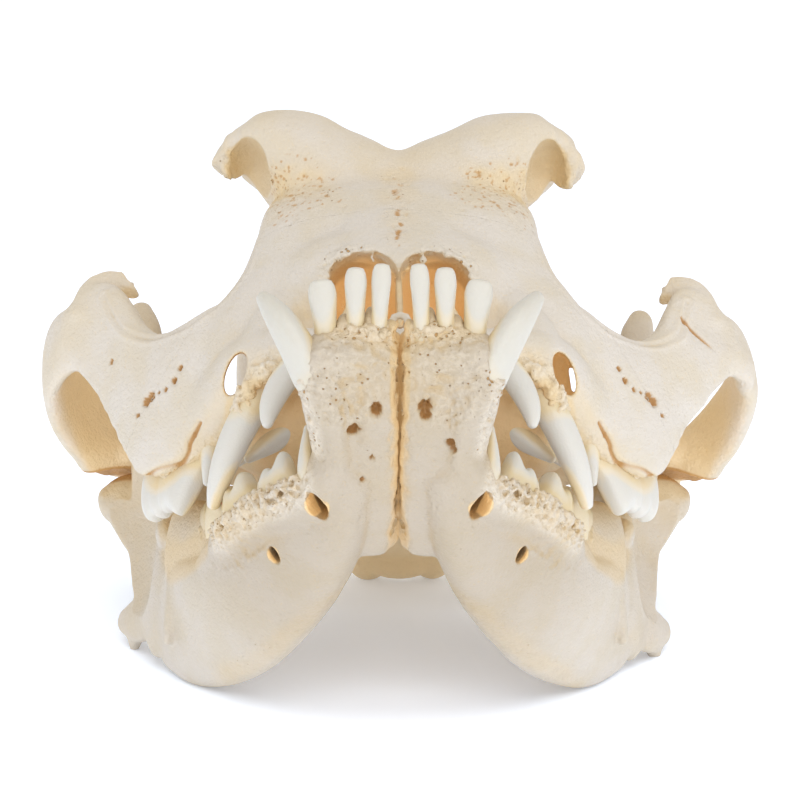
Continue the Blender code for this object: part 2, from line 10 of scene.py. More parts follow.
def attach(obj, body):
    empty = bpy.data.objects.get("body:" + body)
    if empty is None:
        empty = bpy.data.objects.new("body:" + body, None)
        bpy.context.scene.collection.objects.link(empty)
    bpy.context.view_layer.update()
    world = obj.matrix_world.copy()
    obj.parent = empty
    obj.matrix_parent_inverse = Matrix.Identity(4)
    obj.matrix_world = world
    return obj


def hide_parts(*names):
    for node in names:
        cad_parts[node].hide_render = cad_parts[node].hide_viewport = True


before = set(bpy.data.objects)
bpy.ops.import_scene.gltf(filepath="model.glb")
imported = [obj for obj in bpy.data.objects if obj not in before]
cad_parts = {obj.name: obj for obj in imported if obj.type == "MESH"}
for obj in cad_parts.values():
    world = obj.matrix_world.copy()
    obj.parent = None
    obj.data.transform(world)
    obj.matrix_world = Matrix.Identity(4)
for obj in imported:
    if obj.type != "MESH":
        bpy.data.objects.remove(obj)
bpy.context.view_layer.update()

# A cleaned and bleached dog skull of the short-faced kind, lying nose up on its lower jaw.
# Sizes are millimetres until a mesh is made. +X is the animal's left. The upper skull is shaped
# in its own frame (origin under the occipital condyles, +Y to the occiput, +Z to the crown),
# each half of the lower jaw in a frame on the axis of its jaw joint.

mm = 0.001

pose = {
    "skull": {"pitch": 30.0, "origin": (0.0, 48.85, 0.0)},
    "jaw": {"pitch": 32.0, "origin": (0.0, 14.85, 27.6)},
}

fineness = {
    "skullVoxel": 0.38, "jawVoxel": 0.31, "toothVoxel": 0.26,       # mm, of the even skins
    "prickVoxel": 0.2, "skullLumpVoxel": 0.3, "jawLumpVoxel": 0.26,
    "mostTriangles": 190000,                                         # in one piece
    "ring": 40, "between": 6,                       # points round and along a sweep
}


# working out surfaces with numpy


def curve(rows, between):
    # Catmull-Rom: each span is the cubic through its two rows, with slopes that point from the
    # row before to the row after
    rows = np.asarray(rows, float)
    pad = np.vstack([2 * rows[0] - rows[1], rows, 2 * rows[-1] - rows[-2]])
    a, b, c, d = (pad[i : i + len(rows) - 1, None] for i in range(4))
    t = (np.arange(between) / between)[None, :, None]
    spans = 0.5 * (2 * b + (c - a) * t + (2 * a - 5 * b + 4 * c - d) * t**2
                   + (3 * b - a - 3 * c + d) * t**3)
    return np.vstack([spans.reshape(-1, rows.shape[1]), rows[-1:]])


def normed(v):
    return v / np.maximum(np.linalg.norm(v, axis=-1, keepdims=True), 1e-12)


def meshObject(name, points, quads, tris):
    mesh = bpy.data.meshes.new(name)
    mesh.from_pydata((np.asarray(points) * mm).tolist(), [], quads.tolist() + tris.tolist())
    obj = linked(name, mesh)
    faceOut(obj)
    return obj


def faceOut(obj):
    bm = bmesh.new()
    bm.from_mesh(obj.data)
    bmesh.ops.recalc_face_normals(bm, faces=bm.faces)
    if bm.calc_volume(signed=True) < 0:
        bmesh.ops.reverse_faces(bm, faces=bm.faces)
    bm.to_mesh(obj.data)
    bm.free()


def closedGrid(name, grid, first, last):
    # grid[i, j] is ring i, place j round it; both ends close in a fan to a pole
    rings, ring = grid.shape[:2]
    i, j = np.meshgrid(np.arange(rings - 1), np.arange(ring), indexing="ij")
    k = (j + 1) % ring
    quads = np.stack([i * ring + j, i * ring + k, (i + 1) * ring + k, (i + 1) * ring + j], -1)
    points = np.vstack([grid.reshape(-1, 3), first, last])
    j = np.arange(ring)
    k = (j + 1) % ring
    end = (rings - 1) * ring
    tris = np.vstack([
        np.stack([k, j, np.full(ring, rings * ring)], -1),
        np.stack([end + j, end + k, np.full(ring, rings * ring + 1)], -1),
    ])
    return meshObject(name, points, quads.reshape(-1, 4), tris)


def tube(name, rows, up=(0, 0, 1), axis=None, power=2.0, cap=0.8, ring=None, between=None):
    # Superellipses |x / w|^p + |z / h|^p = 1 carried along a smooth path; at both ends the
    # section shrinks by sqrt(1 - s * s) as it moves out by s times the smaller half size.
    # rows are (x, y, z, half width, half height, roll in degrees)
    ring = ring or fineness["ring"]
    rows = curve([tuple(r) + (0,) * (6 - len(r)) for r in rows], between or fineness["between"])
    centre, sizes, roll = rows[:, :3], rows[:, 3:5], np.radians(rows[:, 5])[:, None]
    ahead = np.gradient(centre, axis=0)
    if axis is not None:
        fixed = np.broadcast_to(np.array(axis, float), ahead.shape)
        ahead = np.where((ahead * fixed).sum(1, keepdims=True) < 0, -fixed, fixed)
    ahead = normed(ahead)
    side = normed(np.cross(ahead, np.array(up, float)))
    rise = np.cross(side, ahead)
    wide = side * np.cos(roll) + rise * np.sin(roll)
    tall = rise * np.cos(roll) - side * np.sin(roll)
    out = np.array([0.99, 0.93, 0.82, 0.66, 0.46, 0.24])
    reach = sizes.min(1)[[0, -1]] * cap
    at = np.r_[np.zeros(6, int), np.arange(len(rows)), np.full(6, len(rows) - 1)]
    shift = np.r_[-out * reach[0], np.zeros(len(rows)), out[::-1] * reach[1]]
    scale = np.r_[np.sqrt(1 - out**2), np.ones(len(rows)), np.sqrt(1 - out[::-1] ** 2)]
    turn = np.arange(ring) * 2 * math.pi / ring
    across = np.sign(np.cos(turn)) * np.abs(np.cos(turn)) ** (2 / power)
    along = np.sign(np.sin(turn)) * np.abs(np.sin(turn)) ** (2 / power)
    middle = centre[at] + ahead[at] * shift[:, None]
    size = sizes[at] * scale[:, None]
    grid = (middle[:, None] + (wide[at] * size[:, :1])[:, None] * across[None, :, None]
            + (tall[at] * size[:, 1:])[:, None] * along[None, :, None])
    first, last = centre[0] - ahead[0] * reach[0], centre[-1] + ahead[-1] * reach[1]
    return closedGrid(name, grid, first, last)


def ball(name, centre, radii, tilt=(0, 0, 0), ring=32):
    # x, y, z = radii * (cos u * sin v, sin u * sin v, cos v), then turned about X, Y and Z
    u = np.arange(ring) * 2 * math.pi / ring
    v = (np.arange(1, ring // 2) * math.pi / (ring // 2))[:, None]
    grid = np.stack([np.cos(u) * np.sin(v), np.sin(u) * np.sin(v), np.cos(v) + 0 * u], -1)
    turn = np.array(Matrix.Rotation(math.radians(tilt[2]), 3, "Z")
                    @ Matrix.Rotation(math.radians(tilt[1]), 3, "Y")
                    @ Matrix.Rotation(math.radians(tilt[0]), 3, "X"))
    pole = np.array([0, 0, 1.0]) * radii @ turn.T
    return closedGrid(name, grid * radii @ turn.T + centre, centre + pole, centre - pole)


def linked(name, data):
    obj = bpy.data.objects.new(name, data)
    bpy.context.scene.collection.objects.link(obj)
    return obj


def mirrored(obj):
    mesh = obj.data.copy()
    mesh.transform(Matrix.Diagonal([-1, 1, 1, 1]))
    mesh.flip_normals()
    return linked(obj.name + "Mirrored", mesh)


def both(objects):
    return list(objects) + [mirrored(o) for o in objects]


def bothWays(half):
    # the rows from the middle out to +X, made into rows from -X to +X
    return [(-x, *rest) for x, *rest in reversed(half[1:])] + half


def applied(obj):
    graph = bpy.context.evaluated_depsgraph_get()
    mesh = bpy.data.meshes.new_from_object(obj.evaluated_get(graph))
    obj.modifiers.clear()
    obj.data = mesh
    return obj


def combine(obj, others, operation):
    # one Boolean with all the others at once, applied; the others are removed
    group = bpy.data.collections.new("operand")
    for other in others:
        for old in list(other.users_collection):
            old.objects.unlink(other)
        group.objects.link(other)
    bpy.context.scene.collection.children.link(group)
    step = obj.modifiers.new("combine", "BOOLEAN")
    step.operation = operation
    step.solver = "MANIFOLD"
    step.operand_type = "COLLECTION"
    step.collection = group
    applied(obj)
    for other in others:
        bpy.data.objects.remove(other, do_unlink=True)
    bpy.data.collections.remove(group)
    return obj


def evenSkin(obj, voxel, rounds):
    # the body as one skin of even squares, its joins rounded by smoothing
    remesh = obj.modifiers.new("remesh", "REMESH")
    remesh.mode = "VOXEL"
    remesh.voxel_size = voxel * mm
    smooth = obj.modifiers.new("smooth", "SMOOTH")
    smooth.factor = 0.5
    smooth.iterations = rounds
    return applied(obj)


def corners(obj):
    points = np.empty(len(obj.data.vertices) * 3, np.float32)
    obj.data.vertices.foreach_get("co", points)
    return points.reshape(-1, 3).astype(float) / mm


def setCorners(obj, points):
    obj.data.vertices.foreach_set("co", (points * mm).astype(np.float32).ravel())
    obj.data.update()


def outward(obj):
    normals = np.empty(len(obj.data.vertices) * 3, np.float32)
    obj.data.vertex_normals.foreach_get("vector", normals)
    return normals.reshape(-1, 3).astype(float)


def edgeEnds(obj):
    ends = np.empty(len(obj.data.edges) * 2, np.int32)
    obj.data.edges.foreach_get("vertices", ends)
    return ends.reshape(-1, 2)


def eased(points, ends, weight, rounds):
    # moves each point towards the mean of its neighbours, by its weight, round after round
    used = ends[(weight[ends] > 0).any(1)]
    near, local = np.unique(used, return_inverse=True)
    a, b = local.reshape(-1, 2).T
    count = len(near)
    links = np.bincount(a, minlength=count) + np.bincount(b, minlength=count)
    part, share = points[near], weight[near]
    for _ in range(rounds):
        for k in range(3):
            column = part[:, k]
            mean = (np.bincount(a, column[b], count) + np.bincount(b, column[a], count)) / links
            part[:, k] += share * (mean - column)
    points = points.copy()
    points[near] = part
    return points


def meltedCreases(obj, places):
    # inside each soft-edged ball (middle, half sizes, rounds) the skin is smoothed
    points, ends = corners(obj), edgeEnds(obj)
    for centre, radii, rounds in places:
        far = np.linalg.norm((points - centre) / radii, axis=1)
        points = eased(points, ends, 0.7 * (1 - softStep(far, 0.5, 1.0)), rounds)
    setCorners(obj, points)


def paintEdges(obj):
    # ridges stand proud of the smoothed skin, grooves lie under it
    points, normals = corners(obj), outward(obj)
    flat = eased(points, edgeEnds(obj), np.full(len(points), 0.6), 14)
    rise = ((points - flat) * normals).sum(1)
    paint(obj, "ridge", softStep(rise, 0.05, 0.28))
    paint(obj, "groove", softStep(-rise, 0.05, 0.3))


def mainShell(obj):
    # drops loose crumbs: keeps the closed surface with the most faces
    bm = bmesh.new()
    bm.from_mesh(obj.data)
    left = set(bm.faces)
    shells = []
    while left:
        first = left.pop()
        shell, edge = [first], [first]
        while edge:
            for e in edge.pop().edges:
                for other in e.link_faces:
                    if other in left:
                        left.discard(other)
                        shell.append(other)
                        edge.append(other)
        shells.append(shell)
    for shell in sorted(shells, key=len)[:-1]:
        bmesh.ops.delete(bm, geom=shell, context="FACES")
    bmesh.ops.delete(bm, geom=[v for v in bm.verts if not v.link_faces], context="VERTS")
    bm.to_mesh(obj.data)
    bm.free()
    return obj


# noise


def lattice(cell, seed):
    # a fixed number in 0..1 for each whole-number place, from its multiplied and folded bits
    h = (cell[..., 0] * 374761393 + cell[..., 1] * 668265263 + cell[..., 2] * 1440662683
         + seed * 974634777) & 0xFFFFFFFF
    h = ((h ^ (h >> 13)) * 1274126177) & 0xFFFFFFFF
    return ((h ^ (h >> 16)) & 0xFFFFFF) / 0xFFFFFF


def cloud(points, size, seed):
    # smooth noise in -1..1: lattice numbers one size apart, blended by 3f^2 - 2f^3 on each axis
    p = points / size + 512.5
    base = np.floor(p).astype(np.int64)
    f = p - base
    f = f * f * (3 - 2 * f)
    total = np.zeros(len(p))
    for corner in np.ndindex(2, 2, 2):
        weight = np.where(np.array(corner, bool), f, 1 - f).prod(1)
        total += weight * lattice(base + np.array(corner), seed)
    return 2 * total - 1


def cells(points, size, seed):
    # distance to the nearest grain centre, in sizes, with one grain strewn in each cube
    p = points / size + 512.5
    base = np.floor(p).astype(np.int64)
    nearest = np.full(len(p), 9.0)
    for corner in np.ndindex(3, 3, 3):
        cell = base + np.array(corner) - 1
        spot = cell + 0.1 + 0.8 * np.stack([lattice(cell, seed + k) for k in (1, 2, 3)], -1)
        nearest = np.minimum(nearest, ((p - spot) ** 2).sum(1))
    return np.sqrt(nearest)


def softStep(x, low, high):
    t = np.clip((x - low) / (high - low), 0, 1)
    return t * t * (3 - 2 * t)


def nearBlob(points, spots):
    # 1 at the middle of each spot (x, y, z, radius), falling to 0 at its radius; the largest wins
    best = np.zeros(len(points))
    for x, y, z, r in spots:
        d = np.sqrt(((points - (x, y, z)) ** 2).sum(1))
        best = np.maximum(best, 1 - softStep(d / r, 0.45, 1.0))
    return best


def nearPath(points, path, radius, between=6):
    # each point's distance to a smooth path, where it is less than the radius; else a huge number
    line = curve(path, between)
    best = np.full(len(points), 1e9)
    box = ((points > line.min(0) - radius) & (points < line.max(0) + radius)).all(1)
    inside = points[box]
    near = np.full(len(inside), 1e9)
    for a, b in zip(line[:-1], line[1:]):
        way = b - a
        t = np.clip(((inside - a) @ way) / max(way @ way, 1e-9), 0, 1)
        near = np.minimum(near, np.linalg.norm(inside - a - t[:, None] * way, axis=1))
    best[box] = near
    return best


# upper skull

skullForm = {
    "archHalfWidth": 65.6,
    "condyleRadius": 4.8, "condyleDrop": 1.5, "fossaClearance": 0.6,
    "joinRounding": 20, "cutRounding": 2, "toothRounding": 4,      # rounds of smoothing
}


def braincase():
    vault = tube("vault", [
        (0, -5, 27, 20, 16), (0, -12, 30, 28, 23), (0, -27, 34.5, 32, 27), (0, -44, 38, 29.5, 26),
        (0, -59, 40.5, 23, 21.5), (0, -72, 42, 19.5, 17),
    ], power=2.2, ring=72)
    base = tube("skullBase", [
        (0, -5, 9, 10.5, 5), (0, -25, 8, 10, 5.5), (0, -45, 8, 8.5, 6), (0, -64, 9, 8, 7),
    ], power=3)
    crest = tube("sagittalCrest", [
        (0, -50, 61.5, 1.6, 3), (0, -38, 62.4, 1.4, 4), (0, -20, 61, 1.3, 5), (0, -4, 54, 1.5, 6),
        (0, 1, 49, 2, 5),
    ])
    nuchal = tube("nuchalCrest", bothWays([
        (0, 2, 52, 2, 5), (12, -1, 49, 1.8, 4.5), (24, -6, 41, 1.8, 4.5), (30, -9, 28, 1.8, 4.5),
        (29, -13, 17, 2.0, 4),
    ])[::-1], up=(0, 1, 0))
    side = [
        ball("bulla", (15.5, -24, 5.5), (7.5, 10, 7)),
        tube("earCanal", [(18, -27, 9, 4, 4), (27, -29, 11, 5, 4.5)]),
        tube("occipitalCondyle", [
            (6.2, 0, 5.4, 4.6, 5.6), (9, 2.2, 10.6, 4.6, 5.2), (12, 1.5, 16.6, 4, 4.6),
        ], up=(0, 1, 0)),
        tube("jugularProcess", [
            (19, -7, 13, 4, 3.5), (20, -6.5, 6, 2.8, 2.4), (19.5, -7.5, 1, 1.4, 1.4),
        ], up=(0, 1, 0)),
        tube("mastoid", [(26, -15, 12.6, 4.5, 5.5), (28, -13, 20, 4, 5)], up=(0, 1, 0)),
        tube("squamosal", [(25, -18, 17, 7, 8), (28.5, -28, 17, 5.4, 7), (28, -38, 18, 6, 7)]),
    ]
    basion = ball("basion", (0, -1, 5.4), (8, 4, 4.7))
    return [vault, base, crest, nuchal, basion] + both(side)


def brow():
    # two swellings with a groove between them, drawn out into the eye-socket roofs
    roofs = tube("brow", bothWays([
        (0, -76.6, 49.8, 13.9, 13.9), (4.7, -76.4, 50.8, 14.6, 14.9), (9.6, -76, 52, 15.2, 16),
        (15, -76, 56, 15.2, 14.8), (21, -76.6, 60.8, 13.6, 10.7), (26, -76.8, 63.9, 11.4, 6.9),
        (29, -76.5, 65, 8.8, 3.7),
    ]), axis=(1, 0, 0), power=2.3, ring=72, cap=0.5)
    hook = tube("browHook", [
        (26, -77, 66, 7.5, 3.6), (29.3, -76.2, 65.1, 6.5, 3), (31.6, -75.6, 62.7, 4.8, 2.7),
        (32.2, -75, 60.8, 3.4, 2.2),
    ], up=(0, 0.05, 1), cap=0.5)
    line = tube("templeLine", [
        (27, -70, 65, 4, 4.5), (19, -63, 61, 4.5, 4), (9, -54, 60.4, 3.6, 3.4),
        (1, -44, 61.6, 2, 3),
    ])
    back = tube("browBack", [(0, -62, 45, 22, 17), (0, -72, 45, 20.5, 15.5)], power=2.2, ring=72)
    # the left hook is broken off lower down
    spur = tube("leftSpur", [
        (33, -75.4, 61, 2.2, 2.4), (33.8, -75, 58.8, 1.7, 1.9), (34.2, -75, 57.2, 1.1, 1.3),
    ], up=(0, 1, 0))
    return [roofs, back, spur] + both([hook, line])


def faceColumn():
    column = tube("faceColumn", [
        (0, -80, 49, 25, 9.4), (0, -84.5, 44.5, 26, 12), (0, -88.5, 38.5, 27, 13.5),
        (0, -91, 31, 30.4, 14), (0, -92.5, 23, 35.8, 14.5), (0, -93, 13, 37.5, 16),
        (0, -93, 5, 35, 16),
    ], power=2.6, ring=80)
    nasals = tube("nasalBones", [
        (0, -94, 47, 10, 3.5), (0, -101, 40, 10.5, 3.5), (0, -107, 33.5, 11.5, 3.2),
        (0, -109.5, 30.5, 10.5, 2.6),
    ], power=2.5)
    inner = tube("nasalChamber", [
        (0, -58, 24, 12, 17), (0, -72, 26, 14.5, 20), (0, -86, 28, 19, 22), (0, -96, 24, 25, 18),
    ], power=2.4, ring=72)
    return [column, nasals, inner]


def upperJawBone():
    arch = tube("toothArch", bothWays([
        (0, -113.5, 11.4, 4.4, 5), (9, -113.2, 11.4, 4.6, 5), (17.5, -111, 12.4, 5.2, 5.4),
        (25, -105.4, 12, 6.4, 7), (31, -97.4, 8.4, 6.2, 7.2), (36.5, -90, 5.4, 5.6, 6.6),
        (40.2, -82.5, 3.4, 5.4, 6.4), (41.8, -75, 3.2, 4.8, 6), (39.8, -68.6, 4.6, 3.8, 4.8),
    ]), power=2.4)
    palate = tube("palate", [
        (0, -108, 10, 21, 3), (0, -97, 8.2, 28, 3.2), (0, -80, 6.6, 36, 3.4), (0, -71, 6, 37, 3.2),
        (0, -61, 5.2, 35, 3.4),
    ], power=3.4, ring=72)
    side = [
        tube("palateRidge", [
            (22, -107, 6, 3.2, 3), (22.5, -100, 4.6, 3.2, 3), (28, -92, 3.8, 3.2, 2.8),
            (34, -84, 3, 2.8, 2.4),
        ]),
        tube("canineSwelling", [
            (25.2, -107.4, 9.5, 5.8, 5.4), (23.5, -105, 16, 6, 6), (20, -102, 24, 5, 5),
        ], up=(0, 1, 0)),
        tube("cheekWall", [(33, -92, 14, 7, 11), (38, -84, 13, 6, 9), (40, -76, 12, 4.5, 6)]),
        tube("pterygoid", [
            (10, -64, 7, 1.8, 7), (9, -54, 5.5, 1.6, 6.5), (8.5, -47, 3.5, 1.4, 5),
            (8.8, -42, 1, 1.3, 2.5),
        ]),
    ]
    return [arch, palate] + both(side)


def cheekBone():
    # the cheek bone with the whole arch, from beside the nose back to the jaw joint
    wide = skullForm["archHalfWidth"]
    plate = tube("cheekPlate", [
        (25, -98, 15, 4.5, 10.5), (33, -95.5, 13.6, 4.6, 13.6), (42, -89.5, 10.6, 4.2, 13.2),
        (47, -85.6, 12, 3.7, 14.6), (50, -83.2, 16.8, 3.4, 15), (53, -80.8, 22.4, 3, 13.8),
        (56, -78.6, 26.2, 2.8, 11.4), (59.2, -76.6, 28.2, 2.6, 8.6), (62.4, -74.6, 28.4, 2.4, 5.2),
    ], axis=(0.86, 0.5, 0), power=2.6, cap=0.6, ring=64)
    blade = tube("archBlade", [
        (58, -78, 28, 2.2, 6), (63, -73.6, 27.2, 2.2, 6.6), (wide, -68, 24.6, 2.1, 6.2),
        (wide, -62, 21.6, 2.1, 5.6), (63.8, -55.5, 18.2, 2.3, 5.3), (60.4, -49, 15.4, 2.8, 5),
        (55.5, -43.5, 14.5, 5, 4.4),
    ], power=2.3)
    # the upper edge of the arch; the right one stands so tall that no light shows over it, the
    # left one leaves a narrow gap
    edges = [
        tube("archEdge", [
            (-wide, -66, 25, 1.9, 6.4), (-64.8, -59, 24, 2, 8), (-62.4, -52.5, 23, 2.2, 9.6),
            (-58.8, -47, 21.6, 2.8, 10.4), (-54.4, -43.4, 19.6, 3.4, 7.6),
        ], power=2.3),
        tube("archEdge", [
            (wide, -66, 25, 1.9, 2.4), (64.8, -59, 24, 2, 3.8), (62.4, -52.5, 20.8, 2.2, 5),
            (58.8, -47, 17.4, 2.8, 4.8), (54.4, -43.4, 14.6, 3.4, 3),
        ], power=2.3),
    ]
    lower = tube("archLower", [
        (61.4, -50.4, 13.4, 2, 2.6), (59.6, -47, 12, 2.4, 3), (56.8, -43.4, 11.4, 2.8, 3.2),
    ])
    root = tube("archRoot", [
        (57, -42.5, 14.6, 5.5, 3.6), (50, -41.5, 14.4, 8, 4), (41, -40, 15, 9, 4.6),
        (32, -38, 18, 10, 7), (24, -37, 23, 10, 9),
    ], power=2.6)
    process = tube("eyeProcess", [
        (58, -77.4, 30.6, 4.6, 2.5), (56.4, -76, 35.4, 4.6, 2.6), (54.6, -75.3, 37.7, 3.6, 2.5),
        (52.2, -75, 38.3, 2.6, 2.4), (50.2, -75, 37.6, 2.0, 2.2),
    ], up=(0, 1, 0), cap=0.9)
    backStop = tube("backStop", [
        (52, -35.5, 13, 2.4, 5), (45, -35.2, 10, 2.5, 6), (38, -35, 12, 2.5, 6),
    ])
    return both([plate, blade, lower, root, process, backStop]) + edges


def skullHollows():
    # nose, spinal hole, throat, eye sockets, holes under the eyes, sockets of the jaw joints
    r = skullForm["condyleRadius"] + skullForm["fossaClearance"]
    drop = 7.2 - skullForm["condyleDrop"]
    nose = tube("noseCut", [
        (0, -126, 20.6, 12.4, 4.6), (0, -114, 20.8, 12.4, 4.8), (0, -104, 22, 11.8, 5.4),
    ], power=2.6)
    spine = tube("spineCut", [(0, 14, 19, 7, 6.2), (0, -6, 18.5, 7, 6), (0, -16, 20, 5, 5)])
    throat = tube("throatCut", [
        (0, -40, 3.0, 6.2, 5.0), (0, -58, 10.5, 6.2, 5.6), (0, -72, 14, 6, 5),
    ])
    side = [
        ball("eyeCut", (39.4, -76, 47.5), (14.6, 20, 14.5), tilt=(-14, 18, 0), ring=64),
        tube("noseChamberCut", [
            (6.3, -124, 22.2, 6.9, 7.6), (6.4, -112, 24.2, 7, 8.6), (6.6, -104, 25, 6.7, 8.2),
            (6.8, -97, 26.4, 6, 7.6), (6.6, -91, 27.6, 4.6, 6),
        ], power=2.5),
        ball("browHollow", (28, -81.6, 58.6), (4.2, 10.2, 6.0), tilt=(0, 12, 0), ring=48),
        tube("cheekHole", [
            (29.5, -114, 8.6, 1.9, 4.2, 18), (30, -97, 13.8, 1.9, 4.2, 18),
            (30.6, -84, 17.8, 2.2, 4.4, 18), (31.2, -66, 23.4, 2.8, 5, 18),
        ]),
        tube("jointCut", [(34, -43.4, drop, r, r), (62, -43.4, drop, r, r)]),
        tube("browPin", [(28.4, -80, 60, 0.35, 0.35), (28.9, -66, 64.2, 0.35, 0.35)]),
        tube("earHole", [(34, -29.4, 11.6, 2.6, 3), (24, -28.4, 10.4, 2.2, 2.4)]),
    ]
    return [nose, spine, throat] + both(side)


# the thin bridge of bone across the hole under the eye, seen through it
holeStrut = [(28.8, -94.4, 19.5, 1.6, 1.2), (29.5, -94.4, 14, 1.7, 1.2), (30.3, -94.4, 8, 1.6, 1.2)]


def noseInside():
    # the thin wall between the nose chambers, the curled bones in them, and the strut
    wall = tube("septum", [
        (0, -106, 23.5, 0.55, 7.5), (0, -98, 25, 0.7, 8.5), (0, -88, 26, 0.8, 8),
    ], power=4, cap=0.4)
    scrolls = [
        tube("scroll", [
            (10.4, -107.5, 21, 0.5, 2.6, 24), (10.2, -102, 22, 0.6, 3.8, 14), (9.4, -90, 24, 0.7, 4, 0),
        ]),
        tube("scrollTop", [
            (8.8, -104, 28.4, 1.6, 0.5, 20), (8.8, -98, 29, 2.2, 0.6, 20), (8, -90, 29, 2, 0.7),
        ]),
        tube("scrollInner", [
            (4.2, -103.5, 20.4, 0.5, 2.4, -20), (4.2, -98, 22, 0.6, 3.2, -12), (4, -90, 25, 0.6, 3),
        ]),
    ]
    strut = tube("holeStrut", holeStrut, up=(0, 1, 0))
    return [wall, strut] + both(scrolls)


# lower jaw, the half at +X


def jawBone():
    chin = tube("chin", [
        (8, -103.5, -7.5, 7.7, 3.6), (8.8, -97, -11.5, 8.5, 5), (7.9, -88.5, -17.5, 7.6, 6.2),
        (7.8, -78, -23.5, 7.5, 6.6), (8, -68, -28, 7.6, 6.4),
    ], power=4.5)
    body = tube("jawBody", [
        (9.5, -84, -22, 6, 7, -20), (13.5, -72, -29, 6.2, 8.6, -32),
        (19.5, -60, -33.4, 6.2, 10.4, -36), (26, -48, -36, 6.2, 11.6, -36),
        (32, -35, -35.6, 6, 12.4, -30), (37.5, -24, -33, 5.4, 12.6, -18), (42, -15, -29, 4.2, 11, -10),
    ], power=2.3, ring=64)
    ledge = tube("toothLedge", [
        (12.6, -99, -12.4, 4.3, 4.2), (10.4, -91, -18.6, 3.6, 4.4), (14.2, -82, -26.2, 4.2, 4.6),
        (21, -70, -26, 4.6, 4.8), (27.6, -59, -26.2, 4.8, 4.8), (31.6, -49, -28, 4, 4.6),
        (35.6, -38, -30.5, 3.4, 4.2), (39.4, -28, -31, 2.8, 4),
    ], power=2.3)
    ramus = tube("ramus", [
        (43.4, -15.5, -31.5, 3.4, 8.6), (45.6, -12.6, -24, 3, 10.4), (47.2, -9.8, -12, 2.6, 9.8),
        (47.8, -11.4, -1, 2.4, 7.6), (48.2, -14.6, 9, 2.2, 6.4), (48.9, -14, 19, 2.2, 5.8),
        (49.2, -12, 26, 3.2, 4.8), (49.6, -10.8, 29.6, 3.1, 4), (50.2, -9.8, 32.6, 2.4, 3),
    ], up=(0.37, 0.93, 0), power=2.1, cap=1.0)
    ridge = tube("frontRidge", [
        (42.8, -19, -12, 1.4, 2), (42.4, -23, -20, 1.3, 2.4), (42.4, -26, -29, 1.3, 2.4),
        (43.2, -24, -37, 1.0, 2),
    ], up=(0, 1, 0))
    wall = tube("rearWall", [
        (32.5, -47, -25, 2, 4.4), (37, -36, -21.6, 2, 8), (42, -25, -19, 2, 8),
    ])
    symphysis = tube("symphysis", [
        (1.3, -103, -5.8, 1.25, 2.7), (1.3, -97, -10.6, 1.25, 4.1), (1.3, -88.5, -16.6, 1.25, 5.2),
        (1.3, -78, -22.7, 1.25, 5.4), (1.3, -68, -27, 1.25, 5),
    ], power=5)
    shoulder = ball("ridgeShoulder", (44, -20, -14.8), (2.1, 3.4, 2.7))
    drop, r = skullForm["condyleDrop"], skullForm["condyleRadius"]
    condyle = tube("jawCondyle", [
        (42, 0, -2.4, 3.4, 3.4), (46, 0, -drop, r, r), (52, 0, -drop, r, r),
        (56, 0.4, -2.6, 3.6, 3.6),
    ], cap=0.6)
    neck = tube("condyleNeck", [
        (52.6, -0.6, -4.6, 3.8, 4.6), (50.8, -1.6, -8.6, 3.4, 5), (49.2, -3, -12.6, 3, 5.2),
        (48.6, -4, -20, 2.6, 5),
    ], up=(0, 1, 0))
    hook = tube("angleHook", [
        (46.5, -9, -27, 2.6, 5), (49.8, -2, -26.4, 2.6, 4.6), (52.2, 3.4, -25.2, 2.2, 2.8),
    ])
    prong = tube("angleProng", [
        (49.5, -3, -26.5, 2.6, 2.4), (50.6, 1, -29.2, 1.7, 1.6), (50.9, 3, -30.6, 1.1, 1.1),
    ])
    socket = tube("canineSocket", [
        (13.4, -102, -8.6, 2.6, 3.2), (13.6, -99.4, -12.8, 3.6, 4), (11.9, -94.5, -17.4, 3.2, 4.2),
        (10.6, -89, -22.5, 2.6, 3.4),
    ], up=(0, 1, 0))
    peaks = [ball("peak", *p) for p in [
        ((1.6, -104.4, -4.6), (1.2, 1.6, 2.2)), ((5.1, -104.6, -3.0), (1.1, 1.7, 2.8)),
        ((9.6, -104.2, -4.0), (1.4, 1.8, 2.6)), ((14.6, -103, -7), (1.6, 1.8, 2)),
    ]]
    return [chin, body, ledge, ramus, ridge, wall, symphysis, shoulder, condyle, neck, hook, prong,
            socket] + peaks


def jawHollows():
    return [
        ball("chewingHollow", (55.4, -13, -15), (9.8, 12, 19), tilt=(0, 0, -20)),
        tube("chinHoleBig", [
            (15.5, -92, -35.4, 1.55, 3.4, -15), (15.0, -86, -31.6, 1.65, 3.4, -15),
            (13.9, -80.5, -27.6, 1.4, 2.6, -15), (12.8, -75, -23.6, 1.2, 2, -15),
        ]),
        tube("chinHoleRear", [
            (24.6, -76, -38.6, 1.2, 2.2, -25), (23.4, -71, -36.0, 1.2, 2.2, -25),
            (22.3, -67.4, -33.6, 1.0, 1.7, -25), (20.8, -62.5, -30.4, 0.9, 1.5, -25),
        ]),
    ]


# teeth

# Pointed crowns, as (place from gum line to tip, part of the half thickness, part of the half
# length); the first row is the end of the root
crowns = {
    "incisor": [(-1, 0.6, 0.7), (0, 0.95, 0.9), (0.3, 1, 0.9), (0.55, 0.9, 0.98),
                (0.74, 0.72, 1.08), (0.88, 0.5, 1.02), (0.97, 0.3, 0.84)],
    "canine": [(-1, 0.7, 0.7), (0, 1, 1), (0.3, 0.98, 0.96), (0.6, 0.84, 0.8), (0.82, 0.62, 0.58),
               (0.95, 0.4, 0.38)],
    "blade": [(-1, 0.6, 0.7), (0, 1, 1), (0.2, 1.02, 0.98), (0.45, 0.88, 0.76), (0.7, 0.62, 0.5),
              (0.9, 0.38, 0.28)],
}
